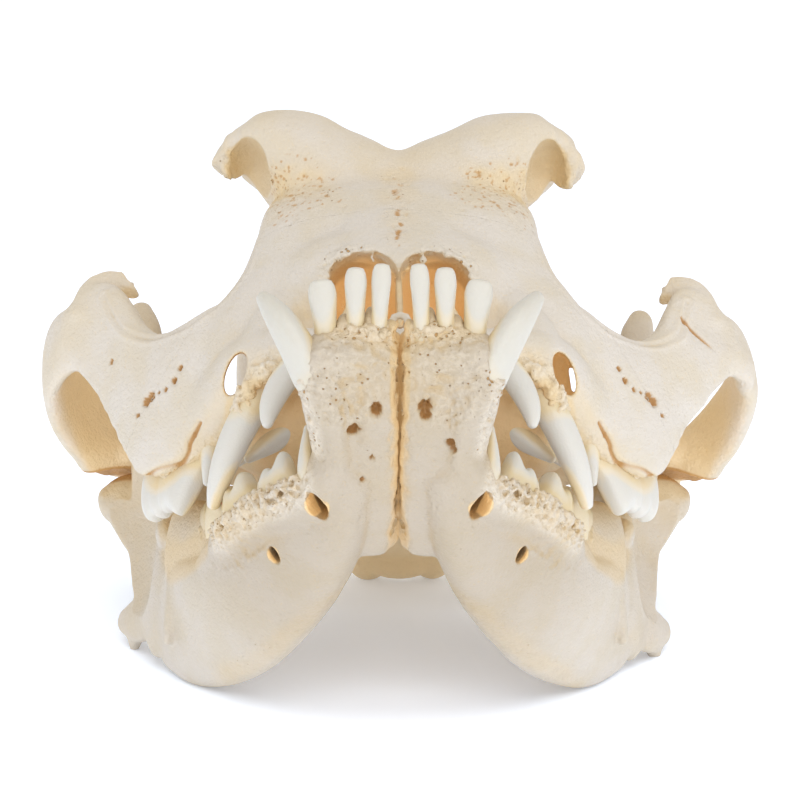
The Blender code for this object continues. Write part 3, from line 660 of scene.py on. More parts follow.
# Lobed crowns, as (place from the front to the rear end of the tooth, part of the height, part of
# the half thickness)
lobes = {
    "leaf": [(0, 0.25, 0.6), (0.2, 0.6, 0.9), (0.42, 1.0, 1.0), (0.6, 0.72, 0.95),
             (0.82, 0.42, 0.85), (1, 0.2, 0.55)],
    "carnassial": [(0, 0.3, 0.6), (0.14, 0.5, 0.85), (0.32, 0.8, 0.97), (0.5, 1, 1),
                   (0.62, 0.94, 1), (0.74, 0.84, 0.97), (0.88, 0.84, 0.9), (1, 0.6, 0.7)],
    "molar": [(0, 0.6, 0.75), (0.16, 0.9, 0.95), (0.35, 1, 1), (0.52, 0.9, 1),
              (0.7, 0.98, 0.97), (0.87, 0.84, 0.9), (1, 0.6, 0.7)],
    "heeled": [(0, 0.15, 0.6), (0.15, 0.42, 0.9), (0.4, 1.0, 1), (0.57, 0.66, 0.95),
               (0.7, 0.52, 0.9), (0.84, 0.6, 0.85), (1, 0.3, 0.5)],
}
rowWays = {
    "front": (1, 0, 0), "corner": (0.7, 0.7, 0), "upper": (0.35, 0.94, 0), "lower": (0.45, 0.86, 0.1),
}

# crown, half thickness, half length, way of the row, base, tip, root, bow of the middle; mm
upperRow = [
    ("incisor", 1.6, 1.6, "front", (3, -117, 7.6), (3, -119, 0.6), 3),
    ("incisor", 1.9, 2.0, "front", (8.8, -116.8, 7.6), (9, -118.8, 0.2), 3),
    ("canine", 2.4, 2.8, "corner", (18.2, -114.4, 10.6), (23.6, -117.4, -2.4), 3, (1.4, 0, 0)),
    ("canine", 3.0, 3.6, "upper", (25, -107.8, 6.8), (33.8, -104.4, -14.2), 5, (1, -2.2, 0)),
    ("blade", 2.3, 3.2, "upper", (19.6, -103, 1.8), (28.3, -103.4, -4.8), 2),
    ("blade", 2.2, 3.0, "upper", (22, -96, 4.4), (30.4, -95, -3.2), 2),
    ("blade", 1.9, 2.6, "upper", (34.3, -94.8, 4.6), (35.3, -94.6, -7.4), 2),
]
lowerRow = [
    ("incisor", 1.5, 1.6, "front", (3.7, -104.6, -5.6), (3.05, -111.2, 5.2), 3),
    ("incisor", 1.65, 1.8, "front", (7.7, -104, -5.2), (7.6, -110.8, 4.6), 3),
    ("incisor", 1.9, 2.3, "front", (12.6, -102.6, -6.4), (13.6, -109.2, 2.9), 3),
    ("canine", 2.8, 3.6, "corner", (15, -99.6, -12), (24.3, -104, 2.2), 3, (-0.4, -2.4, 0)),
    ("blade", 1.2, 1.5, "lower", (14.6, -90.4, -18.4), (14.8, -91.6, -13.4), 2),
    ("blade", 1.35, 1.7, "lower", (16.5, -84.6, -24), (16.3, -86.6, -15.2), 2),
]
# crown, half thickness, height, front end, rear end, way to the tip
upperLobes = [
    ("carnassial", 2.5, 10.6, (35.4, -92, 0.4), (43.2, -82.2, -0.2), (0.1, -0.12, -1)),
    ("molar", 2.6, 9.2, (41.6, -84.2, -0.2), (46.2, -77, -0.8), (0.1, -0.1, -1)),
    ("molar", 3.4, 4.4, (39.5, -78, 1), (41.4, -69.5, 1), (0, 0, -1)),
    ("molar", 2.4, 4.8, (43.6, -74, -0.2), (43, -66.6, -0.2), (0.05, -0.05, -1)),
]
lowerLobes = [
    ("heeled", 2.0, 6.4, (17.8, -79, -24.2), (24.6, -72.8, -23.4), (-0.05, -0.15, 1)),
    ("heeled", 2.5, 6.0, (24.8, -69, -24), (31.0, -62, -23.6), (0.05, -0.1, 1)),
    ("molar", 3.0, 7.2, (28.6, -61.4, -25), (33.4, -49, -24.6), (0.05, -0.1, 1)),
    ("molar", 2.6, 6.4, (33.2, -45, -22), (35.4, -35, -20), (0, 0, 1)),
    ("leaf", 1.5, 2.4, (36.4, -33, -18.4), (37.4, -28.6, -16.6), (0, 0, 1)),
]


def pointedTooth(kind, thickness, length, way, base, tip, root, bow=(0, 0, 0)):
    # the crown's sections stand along the line from base to tip, which bow bends by a parabola
    base, tip, bow = (np.array(v, float) for v in (base, tip, bow))
    shape = np.array(crowns[kind], float)
    shape[0, 0] = -root / np.linalg.norm(tip - base)
    place = shape[:, :1]
    centre = base + (tip - base) * place + bow * (1 - (2 * place - 1) ** 2)
    rows = np.hstack([centre, shape[:, 1:] * (thickness, length)])
    return tube(kind, rows, up=rowWays[way], ring=32, between=6, cap=0.85, power=2.2)


def lobedTooth(kind, thickness, height, front, rear, rise, root=2.2):
    # the crown's sections stand across the row, one after the other from front to rear
    front, rear, rise = np.array(front, float), np.array(rear, float), normed(np.array(rise, float))
    place, tall, thick = np.array(lobes[kind]).T
    middle = front + (rear - front) * place[:, None] + rise * ((tall * height - root) / 2)[:, None]
    rows = np.column_stack([middle, thick * thickness, (tall * height + root) / 2])
    return tube(kind, rows, up=rise, axis=rear - front, ring=32, between=5, cap=0.6, power=2.7)


def toothRow(pointed, lobed, mirror):
    parts = [pointedTooth(*tooth) for tooth in pointed] + [lobedTooth(*tooth) for tooth in lobed]
    parts = both(parts) if mirror else parts
    row = combine(parts[0], parts[1:], "UNION")
    return slimmed(evenSkin(row, fineness["toothVoxel"], skullForm["toothRounding"]))


# small balls strewn over a surface, as holes or as lumps


def cluster(name, spots, voxel):
    # one closed skin round many small balls (x, y, z, radius), each of 5 rings of 10 points
    rings, ring = 5, 10
    spots = np.asarray(spots)
    u = np.arange(ring) * 2 * math.pi / ring
    v = (np.arange(1, rings + 1) * math.pi / (rings + 1))[:, None]
    unit = np.stack([np.cos(u) * np.sin(v), np.sin(u) * np.sin(v), np.cos(v) + 0 * u], -1)
    unit = np.vstack([unit.reshape(-1, 3), (0, 0, 1), (0, 0, -1)])
    i, j = np.meshgrid(np.arange(rings - 1), np.arange(ring), indexing="ij")
    k = (j + 1) % ring
    quads = np.stack([i * ring + j, (i + 1) * ring + j, (i + 1) * ring + k, i * ring + k], -1)
    j = np.arange(ring)
    k = (j + 1) % ring
    top, end = np.full(ring, rings * ring), (rings - 1) * ring
    tris = np.vstack([np.stack([j, k, top], -1), np.stack([end + k, end + j, top + 1], -1)])
    shift = (np.arange(len(spots)) * len(unit))[:, None, None]
    points = spots[:, None, :3] + unit[None] * spots[:, None, 3:4]
    obj = meshObject(name, points.reshape(-1, 3), (quads.reshape(-1, 4)[None] + shift).reshape(-1, 4),
                     (tris[None] + shift).reshape(-1, 3))
    return evenSkin(obj, voxel, 0)


def strewnAlong(path, spread, count, sizes, seed, squash=(1, 1, 1)):
    # balls at random in a tube round a path; sizes are the least and the greatest radius
    rng = np.random.default_rng(seed)
    line = curve(path, 12)
    at = line[rng.integers(0, len(line), count)]
    way = normed(rng.normal(size=(count, 3))) * rng.random((count, 1)) ** 0.4 * spread * squash
    radius = sizes[0] + (sizes[1] - sizes[0]) * rng.random((count, 1)) ** 2
    return np.hstack([at + way, radius])


def strewnOn(obj, spots, ahead, count, sizes, seed, sink=0.3):
    # balls on the surface that a look along ahead meets, within round spots (x, y, z, radius)
    rng = np.random.default_rng(seed)
    tree = BVHTree.FromObject(obj, bpy.context.evaluated_depsgraph_get())
    ahead = normed(np.array(ahead, float))
    side = normed(np.cross(ahead, (0.0, 0.0, 1.0)))
    rise = np.cross(side, ahead)
    found = []
    for x, y, z, reach in spots:
        for _ in range(int(count * reach * reach / 50)):
            turn, out = rng.random() * 2 * math.pi, reach * rng.random() ** 0.6
            start = np.array((x, y, z)) + side * out * math.cos(turn) + rise * out * math.sin(turn)
            size = sizes[0] + (sizes[1] - sizes[0]) * rng.random() ** 2.5
            hit = tree.ray_cast(Vector((start - ahead * 30) * mm), Vector(ahead), 0.06)[0]
            if hit is not None:
                found.append((*(np.array(hit) / mm + ahead * sink * size), size))
    return np.array(found)


# sculpting the skins


def layered(points, rows):
    # noises on top of each other, as (height, size, seed)
    return sum(height * cloud(points, size, seed) for height, size, seed in rows)


def beside(points, path, low, high):
    # 1 along a path, falling to 0 between two distances from it
    return 1 - softStep(nearPath(points, path, high), low, high)


def pitted(points, spots, depth):
    # round holes (x, y, z, radius): the depth falls as a half circle across each one
    down = np.zeros(len(points))
    for x, y, z, r in spots:
        d = np.linalg.norm(points - (x, y, z), axis=1) / r
        down = np.maximum(down, np.sqrt(np.clip(1 - d * d, 0, 1)) * min(depth, r * 1.8))
    return down


def sponge(points, size, seed):
    # open bony froth: low in the middle of each grain, high on the walls between grains
    return softStep(cells(points, size, seed), 0.16, 0.62)


def onMask(mask, points, make):
    # works the costly pattern out only where the mask is above zero
    value = np.zeros(len(points))
    some = mask > 0.01
    if some.any():
        value[some] = make(points[some])
    return value * mask


skullMarks = {
    # places on the +X side, mirrored: x, y, z, radius
    "browPores": [(19, -91, 51.5, 9), (21.5, -93, 46, 6.5), (14, -95.5, 48.5, 6),
                  (23.5, -85, 55.5, 6)],
    "midPores": [(0, -92, 53.5, 5.5), (0, -98, 47.5, 6.5), (0, -104, 41.5, 5.5),
                 (0, -109, 36, 3.5)],
    "cheekPits": [(40.3, -96.2, 15.3, 0.6), (41.4, -95.4, 13.2, 0.7), (43, -94, 11.9, 0.5),
                  (44.3, -93, 11.6, 0.4), (45.6, -91.6, 11.3, 1.0), (46.6, -90.7, 10.5, 1.0),
                  (48.6, -89.4, 8.4, 0.6)],
    "rootPits": [(38.4, -93, -0.2, 1.1), (37.9, -94.6, 1.0, 1.0), (37.2, -96.4, 2.4, 0.8)],
    "noseRim": [(13.1, -108.7, 28.5), (11.8, -108.8, 31.5), (9.1, -109.9, 32.7), (5.4, -110, 31.9),
                (2.7, -107.9, 30.7), (0, -106, 30.7)],
    "canineSocket": [(22.5, -114.6, 9.4), (24.8, -112, 8.4), (27.4, -110.8, 6.2), (28.9, -110, 2.8),
                     (30.5, -104, -0.4)],
    "rowEdge": [(30.1, -98.5, 1.6), (36.7, -92.5, 1.2), (39.6, -88.4, -1.4), (43.6, -84, -2.2)],
    "cheekEdge": [(59.9, -79, 20), (56.1, -81, 14.1), (52.8, -83, 6.9), (49.4, -85.4, 1.1),
                  (46.3, -84, -2.4)],
    "browHook": [(31.6, -78.5, 66.2), (32.9, -79, 63.4), (32.9, -78, 60.6), (32, -76, 59.4)],
    "eyeHook": [(56.6, -75.6, 38.6), (54, -75, 39.4), (51.8, -75, 38.6), (50.8, -75.6, 37.2)],
    "eyeRim": [(55.2, -81.5, 33.8), (52.9, -84.2, 28.2), (50.1, -86.3, 24.9), (46.2, -89.3, 23),
               (42.4, -91.9, 23), (38.6, -95.4, 23.6), (33, -97.6, 26.4), (28, -97.4, 33),
               (25.2, -93.5, 41)],
    "noseKnob": [(0, -115.6, 17.4, 0.8)],
    "toothCrack": [(47.2, -85.2, -3.2), (44.6, -87.8, -2.2), (41.6, -89.6, -1.9),
                   (39.6, -91.4, -1.7), (38.6, -93.6, -0.4), (38.2, -95.2, 1.2), (36.4, -98, 3.8)],
    "jointSocket": [(38, -43.4, 5.7), (60, -43.4, 5.7)],
    "holeUnderEye": [(30, -99, 13.2), (30.6, -84, 17.8), (31.2, -66, 23.4)],
    "scrollEdge": [(10.4, -109.5, 21), (10.2, -102, 22)],
    "septumEdge": [(0, -108, 28), (0, -98, 24)],
    # on one side alone
    "rightPit": [(-54.1, -84.6, 20.3, 0.8)],
    "leftSlit": [(53.6, -83, 30.2), (55, -83, 28), (57.4, -83, 25.4)],
    # along y, how far out the middle of the arch lies
    "archWay": ((-78, -68, -62, -55.5, -49, -43.5), (58, 65.6, 65.6, 63.8, 60.4, 55.5)),
}


def sculptSkull(points):
    # the sum of all reliefs, in mm outwards, and the masks of 0 to 1 that the colouring reads
    m = skullMarks
    x, y, z = np.abs(points[:, 0]), points[:, 1], points[:, 2]
    q = np.column_stack([x, y, z])
    out = layered(points, [(0.20, 13, 1), (0.07, 4.5, 2), (0.025, 1.6, 3)])

    brow = nearBlob(q, m["browPores"])
    middle = nearBlob(q, m["midPores"]) * (1 - softStep(x, 2.0, 6.5))
    out += onMask(brow, points, lambda p: layered(p, [(0.22, 2.2, 4), (0.12, 1.1, 5)]))
    out += onMask(middle, points, lambda p: 0.12 * cloud(p * [1, 0.6, 0.6], 1.3, 6))

    froth = np.maximum(beside(q, m["canineSocket"], 2.2, 5.2), beside(q, m["rowEdge"], 1.6, 4.2))
    out += onMask(froth, points, lambda p: 0.30 * (sponge(p, 1.2, 9) - 0.5))

    rim = beside(q, m["noseRim"], 0.8, 3.2)
    ragged = np.maximum.reduce([
        1.6 * rim, beside(q, m["browHook"], 1.0, 3.6), 0.7 * beside(q, m["eyeHook"], 0.8, 3.2),
        0.55 * beside(q, m["cheekEdge"], 0.6, 3.0),
    ])
    out += onMask(ragged, points, lambda p: 0.35 * cloud(p, 1.6, 10))

    # the raised edge of the eye socket with a fine groove beside it
    far = nearPath(q, m["eyeRim"], 2.4, 8)
    out += 0.35 * np.exp(-((far - 0.9) / 0.55) ** 2) - 0.25 * np.exp(-(far / 0.4) ** 2)
    # cracks, whatever the depth that they run in
    flat = np.array([1, 0.2, 1])
    crack = np.exp(-(nearPath(q * flat, np.array(m["toothCrack"]) * flat, 2.0, 8) / 0.4) ** 2)
    crack *= (1 - softStep(y, -84, -80)) * softStep(x, 30, 34)
    slit = np.exp(-(nearPath(points * flat, np.array(m["leftSlit"]) * flat, 2.4) / 0.4) ** 2)
    slit *= y < -79
    pits = pitted(q, m["cheekPits"], 1.5) + pitted(q, m["noseKnob"], 1.0)
    pits += 0.6 * pitted(q, m["rootPits"], 1.0) + pitted(points, m["rightPit"], 1.2)
    out -= 0.9 * crack + pits + slit
    # the seam between the two frontal and the two nose bones
    seam = np.exp(-((points[:, 0] + 0.8 * cloud(points, 2.0, 12)) / 0.7) ** 2) * (z > 28)
    seam *= softStep(y, -112, -108) * (1 - softStep(y, -104, -84))
    seam *= softStep(cloud(points, 1.3, 13), -0.1, 0.35)
    out -= 0.25 * seam

    porous = np.clip(0.6 * (brow + middle) + 0.5 * froth + 0.6 * ragged, 0, 1)
    # painted shade and glow in the holes: the two nose chambers, and the slots under the eyes; the
    # curled bones, the wall between the chambers and the strut stay lighter
    wide = np.hypot((x - 6.2) / 7.2, (z - 24.0 - 0.12 * (y + 112)) / 8.6)
    inside = (1 - softStep(wide, 0.92, 1.06)) * softStep(y, -110, -107.5) * (y < -84) * 0.85
    inside = np.maximum(inside, 0.65 * beside(q, m["holeUnderEye"], 4.5, 6.0))
    scrolls = np.maximum(beside(q, m["scrollEdge"], 0.9, 2.2), beside(q, m["septumEdge"], 0.9, 2.2))
    strut = beside(points, np.array(holeStrut)[:, :3], 1.8, 2.6)
    inside *= (1 - 0.6 * scrolls) * (1 - 0.6 * strut)
    # painted shade on the roof of the mouth
    mouth = (1 - softStep(x - 8 * softStep(y, -92, -84), 24, 31)) * (1 - softStep(z, 6.5, 9.5))
    mouth *= softStep(y, -116, -112)
    # painted glow and painted shade on the front of the palate
    gap = mouth * (1 - softStep(y, -76, -58))
    # the arch is thin, and a painted glow stands in for the light that comes through it to its inner
    # side
    thin = (1 - softStep(x - np.interp(y, *m["archWay"]), -0.8, 0.6)) * softStep(x, 47, 52)
    thin = np.maximum(thin * softStep(y, -79, -73), 1.3 * strut)

    pores = onMask(np.minimum(1, 4 * brow), points, lambda p: nearBlob(p, m["pores"]))
    pores += 0.5 * onMask(np.minimum(1, 4 * middle), points, lambda p: nearBlob(p, m["finePores"]))
    stainAndShade = 1.3 * (crack + slit) + np.clip(pits / 0.5, 0, 1) + 0.8 * seam + 0.6 * pores
    stainAndShade = np.clip(stainAndShade + beside(q, m["jointSocket"], 5.6, 6.6), 0, 1.3)
    return out, {
        # painted shade on the front of the palate joins the real stains of cracks, pits, seams and
        # pores
        "porous": porous, "froth": froth, "stainAndShade": np.maximum(stainAndShade, 0.45 * gap),
        "inside": inside, "mouth": mouth, "thin": thin, "gap": gap,
        "warm": np.maximum(0.3 * brow, 0.45 * middle), "crust": np.maximum(froth, 0.6 * rim),
    }


jawMarks = {
    "froth": [(17.2, -84.4, -26), (20.8, -79, -26.2), (24.2, -73.7, -25.4),
              (27.2, -68.6, -25.6), (30, -63.4, -26), (32.6, -58.6, -26.8)],
    "chin": [(8, -104, -10, 9.5), (9, -101, -15, 9), (5, -104, -9, 8), (13, -101, -12, 7)],
    "lowChin": [(6, -92, -22, 8), (12, -92, -23, 7), (8, -84, -29, 8), (13, -78, -34, 6)],
    "socket": [(3, -105.5, -5.5), (8, -105, -5.4), (13, -103.6, -7.4), (16.2, -100.8, -12.4),
               (15.0, -96.4, -17.0), (13.8, -91, -20.4)],
    "leftHoles": [(4.3, -98.9, -16.6, 1.25), (4.5, -98.2, -18, 1.1), (9.0, -93.9, -21.6, 0.95),
                  (9.2, -93.4, -22.6, 0.8)],
    "rightHoles": [(-4.1, -98.7, -17.1, 1.15), (-8.1, -95.8, -19.9, 1.0), (-4.9, -90.9, -23.4, 0.5),
                   (-6.4, -88, -26.3, 0.5)],
    "torn": [(0.6, -104, -6), (0.6, -98, -13), (0.6, -91, -18), (0.6, -82, -24), (0.8, -74, -30),
             (1.6, -66, -35), (4.6, -61, -38)],
    "beads": [(-5.9, -94.1, -21.1, 1.5), (-4.7, -93.5, -22.2, 0.9)],
    "border": [(38, -16, -41), (33.5, -22, -44.6), (31, -33.9, -46), (27.3, -40.2, -46.5),
               (23.5, -48.1, -46), (17.9, -57.1, -44), (12.5, -62.7, -41), (4.6, -64, -37)],
    "ventral": [(31, -33.9, -46, 6), (27.3, -40.2, -46.5, 6), (23.5, -48.1, -46, 6),
                (17.9, -57.1, -44, 6), (12.5, -62.7, -41, 5)],
    "recess": [(35, -50, -25), (38, -40, -25), (40, -30, -24), (41, -24, -20)],
    "bigHole": [(15.1, -86.6, -32), (13.9, -80.5, -27.6)],
    "rearHole": [(23.3, -70.5, -35.8), (22.3, -67.4, -33.6)],
    "joint": [(42, 0, -1.5), (56, 0, -1.5)],
    "spill": [(33, -56.6, -29, 3), (32, -56.8, -30.6, 3), (30, -59, -31.4, 3.4),
              (27, -64.4, -30.6, 3), (34, -56.4, -26.5, 3)],     # where the froth hangs over
}


def sculptJaw(points):
    m = jawMarks
    x, y, z = np.abs(points[:, 0]), points[:, 1], points[:, 2]
    q = np.column_stack([x, y, z])
    out = layered(points, [(0.16, 11, 21), (0.06, 4, 22), (0.025, 1.5, 23)])

    chin = nearBlob(q, m["chin"]) * softStep(z, -27, -18)
    out += onMask(chin, points, lambda p: layered(p, [(0.24, 3, 24), (0.18, 0.8, 26)])
                  + 0.28 * (1 - 2.4 * np.abs(cloud(p, 1.5, 25))))
    froth = np.maximum(beside(q, m["froth"], 2.6, 5.4) * softStep(z, -35, -29),
                       0.9 * beside(q, m["socket"], 1.4, 3.6))
    out += onMask(froth, points, lambda p: 0.30 * (sponge(p, 1.15, 28) - 0.5))

    # the torn edges of the seam between the halves, and the painted shade in the slit between them
    lengthwise = softStep(y, -112, -104) * (1 - softStep(y, -66, -58))
    inner = (1 - softStep(x, 0.8, 3.2)) * lengthwise
    within = 1 - beside(points * [0, 1, 1], np.array(m["torn"]) * [0, 1, 1], 0.9, 2.4)
    out += onMask(inner, points, lambda p: 0.35 * cloud(p, 1.5, 29) - 0.5) + 0.62 * inner * within
    rise = 0.945 * z - 0.325 * y
    slit = (1 - softStep(x - 0.8 * softStep(rise, 10, 18), 0.7, 1.3)) * lengthwise * within
    # painted shade in the recess at the rear of the tooth row
    recess = beside(q, m["recess"], 2.6, 6.4) * (1 - softStep(y, -24, -19))

    pits = pitted(points, m["leftHoles"] + m["rightHoles"], 2.2)
    beads = np.zeros(len(points))
    for *spot, r in m["beads"]:
        beads += 0.7 * np.exp(-((points - spot) ** 2).sum(1) / (0.5 * r * r))
    ventral, low = nearBlob(q, m["ventral"]), nearBlob(q, m["lowChin"])
    out += onMask(ventral, points, lambda p: -0.16 * (1 - softStep(cells(p, 1.3, 31), 0.15, 0.4)))
    out += onMask(low, points, lambda p: 0.10 * cloud(p, 1.6, 32)
                  - 0.16 * (1 - softStep(cells(p, 1.7, 33), 0.12, 0.3)))
    out += beads - pits

    porous = np.clip(0.7 * chin + 0.6 * froth + 0.5 * ventral + 0.3 * inner + 0.45 * low, 0, 1)
    stainAndShade = pits / 0.8 + beside(q, m["joint"], 5.2, 5.8) * softStep(z, 0, 2)
    return out, {
        "porous": porous, "froth": froth, "stainAndShade": np.clip(stainAndShade, 0, 1),
        "inside": np.maximum(beside(q, m["bigHole"], 2.0, 2.5), beside(q, m["rearHole"], 1.3, 1.8)),
        "mouth": np.maximum(0.6 * slit, 0.5 * recess),
        # painted shade: darker towards the front of the jaw, less on the froth
        "paintedJawShade": (1 - 0.65 * softStep(y, -66, -34)) * (1 - 0.6 * froth),
        "warm": np.maximum(0.9 * beside(q, m["border"], 0.8, 4.6), 0.15 * chin),
        "crust": np.maximum.reduce([froth, chin, 0.5 * inner]),
    }


def sculpted(obj, relief):
    # moves each point along its normal and keeps the masks
    points, way = corners(obj), outward(obj)
    out, masks = relief(points)
    setCorners(obj, points + way * out[:, None])
    for name, value in masks.items():
        paint(obj, name, value)
    paintEdges(obj)
    return obj


def paint(obj, name, value):
    layer = obj.data.attributes.get(name) or obj.data.attributes.new(name, "FLOAT", "POINT")
    layer.data.foreach_set("value", np.asarray(value, np.float32))


def painted(obj, name):
    value = np.zeros(len(obj.data.vertices), np.float32)
    if name in obj.data.attributes:
        obj.data.attributes[name].data.foreach_get("value", value)
    return value.astype(float)


# how hidden each place is


def boxBlur(grid, radius):
    # the mean over a cube, three times over, which comes close to a bell curve
    width = 2 * radius + 1
    for _ in range(3):
        for axis in range(3):
            pad = [(radius + 1, radius) if a == axis else (0, 0) for a in range(3)]
            run = np.cumsum(np.pad(grid, pad), axis=axis)
            high = np.take(run, range(width, run.shape[axis]), axis)
            low = np.take(run, range(0, run.shape[axis] - width), axis)
            grid = (high - low) / width
    return grid


def sampled(grid, places):
    # the grid's value between its eight nearest cells
    places = np.clip(places, 0, np.array(grid.shape) - 1.001)
    base = places.astype(int)
    f = places - base
    total = np.zeros(len(places))
    for corner in np.ndindex(2, 2, 2):
        at = base + np.array(corner)
        total += np.where(np.array(corner, bool), f, 1 - f).prod(1) * grid[tuple(at.T)]
    return total


def paintHidden(objects, cell=1.0, radii=(2, 6), off=1.1):
    # counts the skin area in cells of 1 mm, spreads it by two widths, and reads it off the skin
    # by 1.1 of the spread: much skin all round means a deep place
    points = [corners(o) for o in objects]
    normals = [outward(o) for o in objects]
    low = np.vstack(points).min(0) - 30
    shape = np.ceil((np.vstack(points).max(0) + 30 - low) / cell).astype(int)
    area = np.zeros(shape)
    for o, p in zip(objects, points):
        free = p[painted(o, "onSeam") < 0.5]
        share = sum(f.area for f in o.data.polygons) / mm**2 / len(free)
        at = np.floor((free - low) / cell).astype(int)
        np.add.at(area, tuple(at.T), share)
    for key, radius in zip(("near", "deep"), radii):
        spread = boxBlur(area, radius)
        sigma = math.sqrt(3 * ((2 * radius + 1) ** 2 - 1) / 12) * cell
        flat = math.exp(-0.5 * off**2) / (math.sqrt(2 * math.pi) * sigma) * cell**3
        for o, p, n in zip(objects, points, normals):
            paint(o, key, sampled(spread, (p + n * off * sigma - low) / cell - 0.5) / flat)


# materials


def toLinear(code):
    c = np.array([int(code[i : i + 2], 16) / 255 for i in (1, 3, 5)])
    return (*np.where(c <= 0.04045, c / 12.92, ((c + 0.055) / 1.055) ** 2.4), 1.0)


def addNode(tree, kind, settings=None, links=None):
    # one node with its settings, the values of its inputs, and the links into it
    node = tree.nodes.new(kind)
    for key, value in (settings or {}).items():
        if isinstance(key, str) and hasattr(node, key):
            setattr(node, key, value)
        else:
            node.inputs[key].default_value = value
    for key, source in (links or {}).items():
        tree.links.new(source, node.inputs[key])
    return node


def plugged(tree, node, sources):
    # each source is a value or another node's output
    for slot, source in sources:
        if isinstance(source, (tuple, float, int)):
            node.inputs[slot].default_value = source
        else:
            tree.links.new(source, node.inputs[slot])


def mixed(tree, factor, first, second, blend="MIX"):
    # first and second are colours or sockets; returns the mixed colour's socket
    node = addNode(tree, "ShaderNodeMix", {"data_type": "RGBA", "blend_type": blend})
    plugged(tree, node, ((0, factor), (6, first), (7, second)))
    return node.outputs[2]


def ranged(tree, source, low, high, start=0.0, end=1.0):
    # start at low and end at high, with a smooth step between them
    return addNode(tree, "ShaderNodeMapRange", {
        "interpolation_type": "SMOOTHSTEP", 1: low, 2: high, 3: start, 4: end,
    }, {0: source}).outputs[0]


def reckoned(tree, operation, *values):
    node = addNode(tree, "ShaderNodeMath", {"operation": operation})
    plugged(tree, node, enumerate(values))
    return node.outputs[0]


def masked(tree, key):
    return addNode(tree, "ShaderNodeAttribute", {"attribute_name": key}).outputs["Fac"]


def noised(tree, place, size, detail):
    # size is in mm
    return addNode(tree, "ShaderNodeTexNoise", {"Scale": 1000 / size, "Detail": detail},
                   {"Vector": place}).outputs["Fac"]


def grained(tree, place, size):
    return addNode(tree, "ShaderNodeTexVoronoi", {"Scale": 1000 / size},
                   {"Vector": place}).outputs["Distance"]


def bumped(tree, shader, height, strength, distance):
    bump = addNode(tree, "ShaderNodeBump", {"Strength": strength, "Distance": distance},
                   {"Height": height})
    tree.links.new(bump.outputs["Normal"], shader.inputs["Normal"])


def newMaterial(name):
    made = bpy.data.materials.new(name)
    made.use_nodes = True
    return made, made.node_tree, made.node_tree.nodes["Principled BSDF"]


def objectPlace(tree):
    return addNode(tree, "ShaderNodeTexCoord").outputs["Object"]


def setInputs(shader, values):
    for key, value in values.items():
        shader.inputs[key].default_value = value


boneLook = {
    "ivory": "#D6CDC1", "cream": "#D3C8B6",                           # the two tones of the bone
    # the three colours on the next line are painted shade, from thin to deeply hidden places; tan also
    # serves the grain
    "tan": "#DFC79C", "orange": "#EDD2A5", "deepOrange": "#EBBF78",   # from thin to deeply hidden
    # the last colour on the next line is painted shade that darkens the front of the lower jaw
    "crust": "#E4DBCC", "weathered": "#D2C7B6", "paintedJawShade": "#DDD6CB",
    # the stain colour also paints shade on the roof of the mouth, and throughLight is a painted glow
    "pore": "#C0904E", "stainAndShade": "#B98645", "throughLight": "#AE8E5E",
    "roughness": 0.5, "bump": 0.0006,
    "mottleSize": 9.0, "blotchSize": 2.4, "pebbleSize": 1.0, "grainSize": 0.55, "dustSize": 0.22,
    "poreSpacing": 1.15, "webSpacing": 0.8,                           # mm
}


